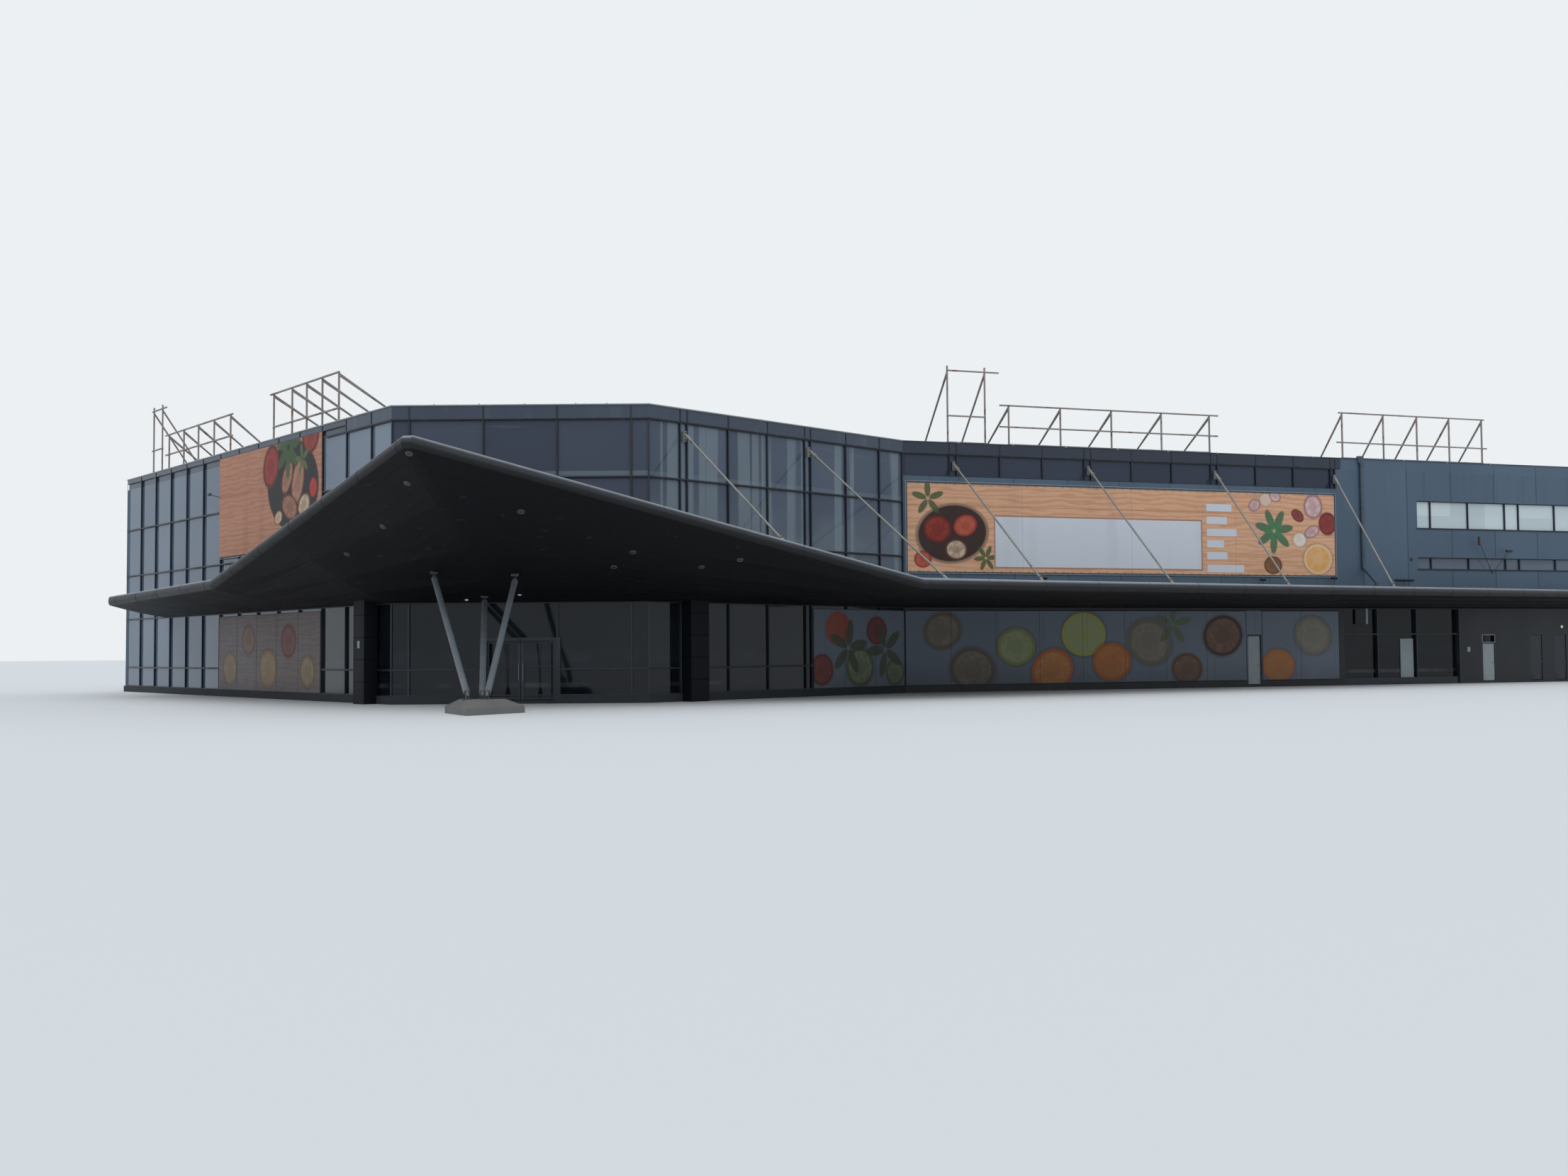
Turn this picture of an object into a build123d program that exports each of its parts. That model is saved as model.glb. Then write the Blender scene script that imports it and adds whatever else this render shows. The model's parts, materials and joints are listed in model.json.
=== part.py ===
"""Shopping centre: a corner building with curtain walls and a pointed canopy.

It is a model at one tenth of the real size. All lengths are millimetres of the
model, so that 100 mm stands for one metre of the real building. X runs along the
long main wall, Y runs to the back and Z runs up from the ground.
"""

from build123d import *
from math import atan2, degrees
import os

os.makedirs("parts", exist_ok=True)

# Plan of the outer walls: how long each one is and which way it heads.
LEFT_WALL = 3367
FRONT_WALL = 1060
RIGHT_WALL = 1606
MAIN_WALL = 4770
LEFT_HEADING = -67.2
FRONT_HEADING = -18.2
RIGHT_HEADING = 26.8

# Heights above the ground.
FLOOR_TOP = 12
PLINTH_TOP = 34
SILL_RAIL = 140
HEAD_RAIL = 415
MIDDLE_RAIL = 665
UPPER_RAIL = 930
BAND_LOW = 1170
WALL_TOP = 1230
LEFT_BAND_LOW = 1205

# Floors above the entrance storey; the upper one rests on the head rail.
TOP_FLOOR = 820
FLOOR_THICK = 35
EXPANSION_JOINT = 2

# Build-up of the walls.
SOLID_WALL = 30
FRAME_DEPTH = 8
GLASS = 4
BAR = 8
PLINTH_STAND = 5

# Panel widths of the curtain walls.
LEFT_END_PANEL = 187
LEFT_BAYS = 13
FRONT_END_PANEL = 73
PANEL = 250
TWIN_STRIP = 39
RIGHT_FIRST_PANEL = 172
RIGHT_TWIN_BAYS = 3
RIGHT_LAST_BAYS = 2

# Entrance in the middle bay of the front wall.
PORTAL_POST = 13
PORTAL_HEAD = 257
PORTAL_HEAD_DEEP = 13
PORTAL_STAND = 4
LEAF_THICK = 5
LEAF_RUN = 5
LEAF_LAP = 4
LEAF_GAP = 2
LEAF_STILE = 14
LEAF_GLASS = 2
TRACK_DEEP = 16
TRACK_HIGH = 14
HANGER = 18
SEAT_GAP = 0.3
LEAF_TRAVEL = 125

# Solid part of the main wall.
STRIP_LOW = 1060
STRIP_FIRST = 270
STRIP_TWIN_EVERY = 3
STRIP_END = 2530
METAL_START = 2565
LINTEL_LOW = 275
SHOP_END = 3330
SHOP_BAYS = (225, 260)
SHOP_PANEL_START = 2950
SHOP_PANEL_WIDE = 86
SHOP_PANEL_TOP = 249
SHOP_PANEL_THICK = 5

# Ribbon windows of the metal-clad walls.
RIBBON_START = 3065
RIBBON_NARROW = 80
RIBBON_WIDE = 240
RIBBON_POST = 18
RIBBON_END_GAP = 100
RIBBON_UPPER = (857, 1009)
RIBBON_LOWER = (631, 697)
REAR_GROUND_WINDOW = (120, 270)
REAR_WINDOW = 800
REAR_WINDOW_SPACING = 1000

# Hinged service doors: left edge of the opening, its width and its leaf's top.
DOOR_1 = (1949, 88, 267)
DOOR_2 = (3487, 93, 219)
DOOR_3 = (3821, 96, 267)
DOOR_4 = (3994, 96, 267)
DOOR_FRAME = 5
DOOR_FRAME_DEEP = 20
DOOR_RECESS = 3
DOOR_LEAF = 5
DOOR_CLEAR = 2
HANDLE_HIGH = 100
HANDLE_BACK = 5
HANDLE_WIDE = 14
HINGE_RADIUS = 1.2
HINGE_SET = 0.8
HINGE_HIGH = 12
TRANSOM_BAR = 4

# Pictures on panels.
PANEL_THICK = 3
MURAL_GAP = 15
LEFT_MURAL = (677, 1900)
RIGHT_MURAL_START = 965
LEFT_BANNER = (677, 1905)
LEFT_BANNER_LOW = 700
LEFT_BANNER_TOP = 1200
MAIN_BANNER = (20, 2515)
MAIN_BANNER_LOW = 590
MAIN_BANNER_TOP = 1025

# Canopy: its flat-topped peak, its two crest lines and its section.
PEAK_X = -2460
PEAK_Y = -1530
PEAK_HIGH = 949
PEAK_CAP = 35
LEFT_KINK = 1775
LEFT_KINK_HIGH = 534
LEFT_TIP = 3150
LEFT_TIP_HIGH = 503
LEFT_TIP_FOOT = 2700
RIGHT_KINK = 2110
RIGHT_KINK_HIGH = 503
RIGHT_TIP_STAND_OUT = 60
RIGHT_TIP_HIGH = 517
SPINE_FOOT = 530
NOSE = 45
CANOPY_BACK = 500
SOFFIT_SAG = 0.12
SOFFIT_FOLDS = 4

# Columns and pedestal below the peak.
PEDESTAL_X = -2212
PEDESTAL_Y = -1500
PEDESTAL_RADIUS = 163
PEDESTAL_TURN = -111
PEDESTAL_HIGH = 24
MOUND_HIGH = 50
MOUND_TOP_RADIUS = 92
COLUMN_RADIUS = 11.5
COLUMN_SIDES = 16
COLUMN_TIP_RADIUS = 4
COLUMN_TAPER = 34
COLUMN_FEET = ((-38, 12), (15, 27), (27, -9))
COLUMN_TOPS = ((-2298, -737), (-2082, -570), (-1998, -855))
TONGUE = 5
TONGUE_LONG = 14
CHEEK = 16
CHEEK_THICK = 3
PIN_RADIUS = 2.5
PIN_LONG = 14
PIN_HIGH = 12
PIN_SIDES = 8
BASE_PLATE = 30
BASE_PLATE_THICK = 3

# Piers, tie rods and the pipe.
PIER = 100
PIER_STAND = 60
LEFT_PIER = 170
RIGHT_PIER = 225
ROD_RADIUS = 4.5
ROD_SIDES = 8
ROD_SLEEVE = 40
ROD_SLEEVE_RADIUS = 7
ROD_TOP = 1120
ROD_PLATE = 30
ROD_PLATE_WIDE = 12
ROD_SETBACK = 60
ROD_LINK = 10
PIPE_X = 2693
PIPE_RADIUS = 10
PIPE_BEND_HIGH = 637
PIPE_FOOT_HIGH = 550
PIPE_FOOT_STAND_OUT = 110

# Frames for signs on the roof: places of the posts, their tops, the two rails (each with its
# height and how far it runs past the first and the last post) and how far the braces reach.
POST = 7
SIGN_INSET = 15
LEFT_SIGN_1 = ((392, 533), 1604, ((1583, 26, 63), (1360, 26, 8)), 230)
LEFT_SIGN_2 = ((645, 875, 1094, 1320, 1547), 1426, ((1423, 58, 27), (1314, 55, 24)), 225)
LEFT_SIGN_3 = ((2098, 2313, 2477, 2647, 2820), 1456, ((1453, 43, 4), (1293, 4, 4)), 370)
MAIN_SIGN_1 = ((251, 455), 1615, ((1592, 4, 78), (1366, 4, 4)), 310)
MAIN_SIGN_2 = ((586, 877, 1171, 1466, 1756), 1433, ((1430, 49, 55), (1322, 50, 52)), 290)
MAIN_SIGN_3 = ((2596, 2868, 3094, 3314, 3541), 1483, ((1480, 22, 18), (1318, 36, 33)), 200)


def heading(angle):
    """Level unit vector at an angle from the X axis."""
    return Vector(1, 0, 0).rotate(Axis.Z, angle)


# Corners of the plan, measured from the inner corner where the main wall starts.
inner_corner = Vector(0, 0, 0)
entrance_right = inner_corner - heading(RIGHT_HEADING) * RIGHT_WALL
entrance_left = entrance_right - heading(FRONT_HEADING) * FRONT_WALL
back_left = entrance_left - heading(LEFT_HEADING) * LEFT_WALL
main_end = inner_corner + Vector(MAIN_WALL, 0, 0)
back_right = Vector(main_end.X, back_left.Y, 0)
pedestal_middle = Vector(PEDESTAL_X, PEDESTAL_Y, 0)
peak = Vector(PEAK_X, PEAK_Y, 0)

# The model's origin lies on the ground in the middle of all that it covers.
lowest_y = PEDESTAL_Y - PEDESTAL_RADIUS
middle = Vector((back_left.X + main_end.X) / 2, (lowest_y + back_left.Y) / 2, 0)
plan = (back_left, entrance_left, entrance_right, inner_corner, main_end, back_right)
corners = [point - middle for point in plan]
pedestal_middle = pedestal_middle - middle
peak = peak - middle
column_tops = [Vector(x, y, 0) - middle for x, y in COLUMN_TOPS]
column_feet = [Vector(x, y, MOUND_HIGH) + pedestal_middle for x, y in COLUMN_FEET]

LEFT, FRONT, RIGHT, MAIN, END, BACK = range(6)
glazed = FRAME_DEPTH + GLASS
depths = [glazed, glazed, glazed, SOLID_WALL, SOLID_WALL, SOLID_WALL]
along = [(corners[(i + 1) % 6] - corners[i]).normalized() for i in range(6)]
lengths = [(corners[(i + 1) % 6] - corners[i]).length for i in range(6)]
outward = [direction.cross(Vector(0, 0, 1)) for direction in along]
faces = [Plane(origin=corners[i], x_dir=along[i], z_dir=outward[i]) for i in range(6)]


def corner(index, share):
    """Corner of the plan, moved in by a share of the depth of both its walls."""
    one = outward[index - 1]
    other = outward[index % 6]
    before = share * depths[index - 1]
    after = share * depths[index % 6]
    cosine = one.dot(other)
    scale = 1 - cosine**2
    return (
        corners[index % 6]
        - one * ((before - after * cosine) / scale)
        - other * ((after - before * cosine) / scale)
    )


def on_wall(wall, distance, stand_out=0):
    """Point on the ground at a distance along a wall and outside its face."""
    return corners[wall] + along[wall] * distance + outward[wall] * stand_out


def cross_plane(wall, distance):
    """Upright plane across a wall: its x runs inwards and its y runs up."""
    return Plane(origin=on_wall(wall, distance), x_dir=-outward[wall], z_dir=along[wall])


def save(piece, name):
    """Labels a finished piece and writes it."""
    piece.part.label = name
    export_step(piece.part, f"parts/{name}.step")


def plate(points, low, high):
    """Adds a level plate or prism over an outline."""
    with BuildSketch(Plane.XY.offset(low)) as outline:
        with BuildLine():
            Polyline(*points, close=True)
        make_face()
    extrude(outline.sketch, amount=high - low)


def wall_layer(wall, near, far, low, high):
    """Adds one layer of a wall between two depths, mitred at both corners."""
    outer = near / depths[wall]
    inner = far / depths[wall]
    outline = (
        corner(wall, outer),
        corner(wall + 1, outer),
        corner(wall + 1, inner),
        corner(wall, inner),
    )
    plate(outline, low, high)


def area(left, right, low, high, grow=0):
    """Draws a rectangle between two distances and two heights."""
    with Locations(((left + right) / 2, (low + high) / 2)):
        Rectangle(right - left + 2 * grow, high - low + 2 * grow)


def cut(wall, left, right, low, high, depth):
    """Cuts a rectangle through a wall from its outer face."""
    with BuildSketch(faces[wall]) as opening:
        area(left, right, low, high)
    extrude(opening.sketch, amount=-depth, mode=Mode.SUBTRACT)


def cut_panes(wall, columns, rows, depth=FRAME_DEPTH):
    """Cuts the panes that the bars between columns and rows leave open."""
    with BuildSketch(faces[wall]) as panes:
        for left, right in zip(columns, columns[1:]):
            for low, high in zip(rows, rows[1:]):
                area(left, right, low, high, -BAR / 2)
    extrude(panes.sketch, amount=-depth, mode=Mode.SUBTRACT)


def block(wall, left, right, low, high, near, far):
    """Adds a block against a wall; depths outside the wall are negative."""
    with BuildSketch(faces[wall].offset(-near)) as outline:
        area(left, right, low, high)
    extrude(outline.sketch, amount=near - far)


def running(start, steps):
    """List of places that starts at one value and goes on by the given steps."""
    places = [start]
    for step in steps:
        places.append(places[-1] + step)
    return places


# Where the upright bars stand along each wall.
left_bay = (lengths[LEFT] - LEFT_END_PANEL) / LEFT_BAYS
left_columns = running(0, [left_bay] * LEFT_BAYS + [LEFT_END_PANEL])
front_bay = (FRONT_WALL - 2 * FRONT_END_PANEL) / 3
front_columns = running(0, [FRONT_END_PANEL] + [front_bay] * 3 + [FRONT_END_PANEL])
right_twin_bay = PANEL - TWIN_STRIP / RIGHT_TWIN_BAYS
right_columns = running(
    0,
    [RIGHT_FIRST_PANEL, TWIN_STRIP]
    + [right_twin_bay] * RIGHT_TWIN_BAYS
    + [TWIN_STRIP]
    + [right_twin_bay] * RIGHT_LAST_BAYS,
)
right_columns.append(RIGHT_WALL)
twin_every = STRIP_TWIN_EVERY * PANEL
twin_bay = (twin_every - TWIN_STRIP) / STRIP_TWIN_EVERY
twin_group = [TWIN_STRIP] + [twin_bay] * STRIP_TWIN_EVERY
twin_groups = int((STRIP_END - STRIP_FIRST) / twin_every) + 1
strip_places = running(STRIP_FIRST - TWIN_STRIP / 2, twin_group * twin_groups)
strip_columns = [0] + [place for place in strip_places if place < STRIP_END - BAR] + [STRIP_END]
high_rows = [PLINTH_TOP, SILL_RAIL, HEAD_RAIL, MIDDLE_RAIL, UPPER_RAIL, BAND_LOW]
left_rows = high_rows[:-1] + [LEFT_BAND_LOW]

# Ground slab, floors and roof, each in two plates with a narrow joint between.
half_joint = Vector(EXPANSION_JOINT / 2, 0, 0)
joint_front = corner(MAIN, 1)
joint_back = Vector(joint_front.X, corner(BACK, 1).Y, 0)
west_outline = [corner(i, 1) for i in (LEFT, FRONT, RIGHT)]
west_outline += [joint_front - half_joint, joint_back - half_joint]
east_outline = [joint_front + half_joint, corner(END, 1), corner(BACK, 1)]
east_outline += [joint_back + half_joint]

levels = (
    ("ground_slab", 0, FLOOR_TOP),
    ("upper_floor", HEAD_RAIL, HEAD_RAIL + FLOOR_THICK),
    ("top_floor", TOP_FLOOR - FLOOR_THICK, TOP_FLOOR),
    ("roof_slab", BAND_LOW - FLOOR_THICK, BAND_LOW),
)
for name, low, high in levels:
    with BuildPart() as slab:
        plate(west_outline, low, high)
        plate(east_outline, low, high)
    save(slab, name)

# Plinth below the curtain walls, left out where the entrance stands.
portal_left = front_columns[2] - PORTAL_POST
portal_right = front_columns[3] + PORTAL_POST
with BuildPart() as plinth:
    for wall in (LEFT, FRONT, RIGHT):
        wall_layer(wall, -PLINTH_STAND, depths[wall], 0, PLINTH_TOP)
    with BuildSketch(faces[FRONT].offset(PLINTH_STAND)):
        area(portal_left, portal_right, 0, PLINTH_TOP)
    extrude(amount=-PLINTH_STAND - glazed, mode=Mode.SUBTRACT)
save(plinth, "plinth")

# Curtain wall of the left side.
with BuildPart() as left_frame:
    wall_layer(LEFT, 0, FRAME_DEPTH, PLINTH_TOP, LEFT_BAND_LOW)
    cut_panes(LEFT, left_columns[:-2], left_rows)
    cut_panes(LEFT, left_columns[-3:], high_rows)
    cut(LEFT, left_columns[-3], lengths[LEFT] + glazed, BAND_LOW, LEFT_BAND_LOW, glazed)
save(left_frame, "left_frame")

with BuildPart() as left_glass:
    wall_layer(LEFT, FRAME_DEPTH, glazed, PLINTH_TOP, BAND_LOW)
save(left_glass, "left_glass")

# Curtain wall of the front, open at the entrance.
with BuildPart() as front_frame:
    wall_layer(FRONT, 0, FRAME_DEPTH, PLINTH_TOP, BAND_LOW)
    cut_panes(FRONT, front_columns, high_rows)
    cut(FRONT, portal_left, portal_right, PLINTH_TOP, PORTAL_HEAD + PORTAL_HEAD_DEEP, glazed)
save(front_frame, "front_frame")

with BuildPart() as front_glass:
    wall_layer(FRONT, FRAME_DEPTH, glazed, PLINTH_TOP, BAND_LOW)
    cut(FRONT, portal_left, portal_right, PLINTH_TOP, PORTAL_HEAD + PORTAL_HEAD_DEEP, glazed)
save(front_glass, "front_glass")

# Curtain wall of the right side.
with BuildPart() as right_frame:
    wall_layer(RIGHT, 0, FRAME_DEPTH, PLINTH_TOP, BAND_LOW)
    cut_panes(RIGHT, right_columns, high_rows)
save(right_frame, "right_frame")

with BuildPart() as right_glass:
    wall_layer(RIGHT, FRAME_DEPTH, glazed, PLINTH_TOP, BAND_LOW)
save(right_glass, "right_glass")

# Entrance: a dark portal, a track inside it and two sliding leaves.
portal_top = PORTAL_HEAD + PORTAL_HEAD_DEEP
leaf_near = glazed + LEAF_RUN
leaf_far = leaf_near + LEAF_THICK
with BuildPart() as entrance_portal:
    block(FRONT, portal_left, portal_right, FLOOR_TOP, portal_top, -PORTAL_STAND, glazed)
    with BuildSketch(faces[FRONT].offset(PORTAL_STAND)):
        area(portal_left + 2 * PORTAL_POST, portal_right - 2 * PORTAL_POST, FLOOR_TOP, PORTAL_HEAD)
    extrude(amount=-PORTAL_STAND - glazed, mode=Mode.SUBTRACT)
    block(FRONT, portal_left, portal_right, 0, FLOOR_TOP, -PORTAL_STAND, glazed)
save(entrance_portal, "entrance_portal")

leaf_wide = front_bay / 2 - PORTAL_POST + LEAF_LAP
entrance_middle = (front_columns[2] + front_columns[3]) / 2
leaf_low = FLOOR_TOP + LEAF_GAP
leaf_high = PORTAL_HEAD + LEAF_LAP
track_low = leaf_high + HANGER / 3
track_half = leaf_wide + LEAF_TRAVEL
with BuildPart() as door_track:
    block(
        FRONT,
        entrance_middle - track_half,
        entrance_middle + track_half,
        track_low,
        track_low + TRACK_HIGH,
        glazed,
        glazed + TRACK_DEEP,
    )
save(door_track, "door_track")

for name, side in (("entrance_leaf_left", -1), ("entrance_leaf_right", 1)):
    near_edge = entrance_middle + side * LEAF_GAP / 2
    far_edge = near_edge + side * leaf_wide
    left, right = sorted((near_edge, far_edge))
    with BuildPart() as leaf:
        block(FRONT, left, right, leaf_low, leaf_high, leaf_near, leaf_far)
        with BuildSketch(faces[FRONT].offset(-leaf_near)):
            area(left, right, leaf_low, leaf_high, -LEAF_STILE)
        extrude(amount=-LEAF_THICK, mode=Mode.SUBTRACT)
        glass_near = leaf_near + (LEAF_THICK - LEAF_GLASS) / 2
        with BuildSketch(faces[FRONT].offset(-glass_near)):
            area(left, right, leaf_low, leaf_high, -LEAF_STILE)
        extrude(amount=-LEAF_GLASS)
        for place in (left + LEAF_STILE, right - LEAF_STILE - HANGER):
            block(
                FRONT, place, place + HANGER, leaf_high, track_low - SEAT_GAP, leaf_near, leaf_far
            )
    save(leaf, name)

# Solid main wall: a ground storey with openings, a lintel and a slate band.
doors = (DOOR_1, DOOR_2, DOOR_3, DOOR_4)
with BuildPart() as ground_wall:
    wall_layer(MAIN, 0, SOLID_WALL, 0, LINTEL_LOW)
    cut(MAIN, METAL_START, SHOP_END, 0, LINTEL_LOW, SOLID_WALL)
    for left, width, leaf_top in doors:
        cut(MAIN, left, left + width, FLOOR_TOP, LINTEL_LOW, SOLID_WALL)
save(ground_wall, "ground_wall")

with BuildPart() as ground_lintel:
    wall_layer(MAIN, 0, SOLID_WALL, LINTEL_LOW, HEAD_RAIL)
    cut(MAIN, METAL_START, SHOP_END, LINTEL_LOW, HEAD_RAIL, SOLID_WALL)
save(ground_lintel, "ground_lintel")

with BuildPart() as main_wall:
    wall_layer(MAIN, 0, SOLID_WALL, HEAD_RAIL, STRIP_LOW)
    cut(MAIN, METAL_START, MAIN_WALL, HEAD_RAIL, STRIP_LOW, SOLID_WALL)
save(main_wall, "main_wall")

with BuildPart() as strip_frame:
    wall_layer(MAIN, 0, FRAME_DEPTH, STRIP_LOW, BAND_LOW)
    cut(MAIN, STRIP_END + BAR / 2, MAIN_WALL, STRIP_LOW, BAND_LOW, SOLID_WALL)
    cut_panes(MAIN, strip_columns, [STRIP_LOW, BAND_LOW])
save(strip_frame, "strip_frame")

with BuildPart() as strip_glass:
    wall_layer(MAIN, FRAME_DEPTH, SOLID_WALL, STRIP_LOW, BAND_LOW)
    cut(MAIN, STRIP_END + BAR / 2, MAIN_WALL, STRIP_LOW, BAND_LOW, SOLID_WALL)
    with BuildSketch(faces[MAIN].offset(-glazed)):
        area(0, MAIN_WALL, STRIP_LOW, BAND_LOW)
    extrude(amount=glazed - SOLID_WALL, mode=Mode.SUBTRACT)
save(strip_glass, "strip_glass")

# Metal-clad wall with two rows of ribbon windows, one above the other.
ribbon_group = [pane + RIBBON_POST for pane in (RIBBON_NARROW, RIBBON_WIDE, RIBBON_WIDE)]
ribbon_groups = int((MAIN_WALL - RIBBON_START) / sum(ribbon_group)) + 1
ribbon_places = running(RIBBON_START, ribbon_group * ribbon_groups)
ribbon_columns = [place for place in ribbon_places if place < MAIN_WALL - RIBBON_END_GAP]
with BuildPart() as metal_wall:
    wall_layer(MAIN, 0, SOLID_WALL, HEAD_RAIL, BAND_LOW)
    cut(MAIN, 0, METAL_START, HEAD_RAIL, STRIP_LOW, SOLID_WALL)
    cut(MAIN, 0, STRIP_END + BAR / 2, STRIP_LOW, BAND_LOW, SOLID_WALL)
    for low, high in (RIBBON_LOWER, RIBBON_UPPER):
        cut(MAIN, ribbon_columns[0], ribbon_columns[-1], low, high, SOLID_WALL)
save(metal_wall, "metal_wall")

with BuildPart() as ribbon_frame:
    for low, high in (RIBBON_LOWER, RIBBON_UPPER):
        block(MAIN, ribbon_columns[0], ribbon_columns[-1], low, high, FRAME_DEPTH, 2 * FRAME_DEPTH)
        with BuildSketch(faces[MAIN]):
            for left, right in zip(ribbon_columns, ribbon_columns[1:]):
                area(left, right, low, high, -BAR / 2)
        extrude(amount=-2 * FRAME_DEPTH, mode=Mode.SUBTRACT)
save(ribbon_frame, "ribbon_frame")

with BuildPart() as ribbon_glass:
    for low, high in (RIBBON_LOWER, RIBBON_UPPER):
        block(
            MAIN,
            ribbon_columns[0],
            ribbon_columns[-1],
            low,
            high,
            2 * FRAME_DEPTH,
            2 * FRAME_DEPTH + GLASS,
        )
save(ribbon_glass, "ribbon_glass")

# Glazing of the shop to the right of the pictures.
shop_columns = running(METAL_START, SHOP_BAYS) + [SHOP_END]
with BuildPart() as shop_frame:
    block(MAIN, METAL_START, SHOP_END, 0, HEAD_RAIL, FRAME_DEPTH, SOLID_WALL - GLASS)
    with BuildSketch(faces[MAIN]):
        for left, right in zip(shop_columns, shop_columns[1:]):
            area(left, right, PLINTH_TOP, LINTEL_LOW, -BAR / 2)
            area(left, right, LINTEL_LOW, HEAD_RAIL, -BAR / 2)
    extrude(amount=-SOLID_WALL, mode=Mode.SUBTRACT)
save(shop_frame, "shop_frame")

with BuildPart() as shop_glass:
    block(MAIN, METAL_START, SHOP_END, 0, HEAD_RAIL, SOLID_WALL - GLASS, SOLID_WALL)
save(shop_glass, "shop_glass")

shop_glass_face = SOLID_WALL - GLASS
with BuildPart() as shop_panel:
    block(
        MAIN,
        SHOP_PANEL_START,
        SHOP_PANEL_START + SHOP_PANEL_WIDE,
        PLINTH_TOP + BAR / 2,
        SHOP_PANEL_TOP,
        shop_glass_face - SHOP_PANEL_THICK,
        shop_glass_face,
    )
save(shop_panel, "shop_panel")

# Plain end and back walls with the same rows of windows.
rows = (REAR_GROUND_WINDOW, RIBBON_LOWER, RIBBON_UPPER)
for name, wall in (("end_wall", END), ("back_wall", BACK)):
    count = int(lengths[wall] / REAR_WINDOW_SPACING)
    centre = lengths[wall] / 2
    with BuildPart() as rear_wall:
        wall_layer(wall, 0, SOLID_WALL, 0, BAND_LOW)
        for low, high in rows:
            with BuildSketch(faces[wall]):
                with Locations((centre, (low + high) / 2)):
                    with GridLocations(REAR_WINDOW_SPACING, 0, count, 1):
                        Rectangle(REAR_WINDOW, high - low)
            extrude(amount=-SOLID_WALL, mode=Mode.SUBTRACT)
    save(rear_wall, name)
    with BuildPart() as rear_glass:
        for low, high in rows:
            with BuildSketch(faces[wall].offset(-FRAME_DEPTH)):
                with Locations((centre, (low + high) / 2)):
                    with GridLocations(REAR_WINDOW_SPACING, 0, count, 1):
                        Rectangle(REAR_WINDOW, high - low)
            extrude(amount=-GLASS)
    save(rear_glass, name.replace("wall", "glass"))

# Metal band round the top of the walls, lower down beside the entrance corner.
with BuildPart() as parapet:
    for wall in (LEFT, FRONT, RIGHT, MAIN, END, BACK):
        wall_layer(wall, 0, depths[wall], BAND_LOW, WALL_TOP)
    with BuildSketch(faces[LEFT]):
        area(-glazed, left_columns[-3], BAND_LOW, LEFT_BAND_LOW)
    extrude(amount=-FRAME_DEPTH, mode=Mode.SUBTRACT)
save(parapet, "parapet")

# Service doors: steel frames with hinge barrels, and one leaf in each.
hinge_offset = DOOR_FRAME + HINGE_SET
with BuildPart() as door_frames:
    for left, width, leaf_top in doors:
        block(MAIN, left, left + width, FLOOR_TOP, LINTEL_LOW, 0, DOOR_FRAME_DEEP)
        with BuildSketch(faces[MAIN]):
            area(left + DOOR_FRAME, left + width - DOOR_FRAME, FLOOR_TOP, leaf_top + DOOR_CLEAR)
        extrude(amount=-DOOR_FRAME_DEEP, mode=Mode.SUBTRACT)
        if leaf_top + 2 * TRANSOM_BAR < LINTEL_LOW - DOOR_FRAME:
            with BuildSketch(faces[MAIN]):
                area(
                    left + DOOR_FRAME,
                    left + width - DOOR_FRAME,
                    leaf_top + DOOR_CLEAR + TRANSOM_BAR,
                    LINTEL_LOW - DOOR_FRAME,
                )
            extrude(amount=-DOOR_FRAME_DEEP / 2, mode=Mode.SUBTRACT)
        hinge = on_wall(MAIN, left + hinge_offset, -DOOR_RECESS)
        for height in (FLOOR_TOP + 2 * HINGE_HIGH, leaf_top - 2 * HINGE_HIGH):
            with Locations((hinge.X, hinge.Y, height)):
                Cylinder(HINGE_RADIUS, HINGE_HIGH)
save(door_frames, "door_frames")

for number, (left, width, leaf_top) in enumerate(doors, start=1):
    leaf_left = left + hinge_offset + HINGE_RADIUS + SEAT_GAP
    leaf_right = left + width - DOOR_FRAME - DOOR_CLEAR
    leaf_back = DOOR_RECESS + DOOR_LEAF
    handle_low = FLOOR_TOP + HANDLE_HIGH
    with BuildPart() as service_door:
        block(
            MAIN, leaf_left, leaf_right, FLOOR_TOP + DOOR_CLEAR, leaf_top, DOOR_RECESS, leaf_back
        )
        block(
            MAIN,
            leaf_right - HANDLE_BACK - HANDLE_WIDE,
            leaf_right - HANDLE_BACK,
            handle_low,
            handle_low + TRANSOM_BAR,
            0,
            DOOR_RECESS,
        )
    save(service_door, f"service_door_{number}")

# Picture panels on the walls.
door_left, door_width, door_top = DOOR_1
mural_top = HEAD_RAIL - MURAL_GAP
with BuildPart() as mural_panels:
    block(LEFT, lengths[LEFT] - LEFT_MURAL[1], lengths[LEFT] - LEFT_MURAL[0],
          PLINTH_TOP, mural_top, -PANEL_THICK, 0)
    block(RIGHT, RIGHT_MURAL_START, RIGHT_WALL - PANEL_THICK, PLINTH_TOP, mural_top, -PANEL_THICK, 0)
    block(MAIN, PANEL_THICK, STRIP_END, PLINTH_TOP, mural_top, -PANEL_THICK, 0)
    with BuildSketch(faces[MAIN].offset(PANEL_THICK)):
        area(door_left, door_left + door_width, 0, LINTEL_LOW)
    extrude(amount=-PANEL_THICK, mode=Mode.SUBTRACT)
save(mural_panels, "mural_panels")

with BuildPart() as left_banner:
    block(LEFT, lengths[LEFT] - LEFT_BANNER[1], lengths[LEFT] - LEFT_BANNER[0],
          LEFT_BANNER_LOW, LEFT_BANNER_TOP, -PANEL_THICK, 0)
save(left_banner, "left_banner")

with BuildPart() as main_banner:
    block(MAIN, *MAIN_BANNER, MAIN_BANNER_LOW, MAIN_BANNER_TOP, -PANEL_THICK, 0)
save(main_banner, "main_banner")


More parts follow.
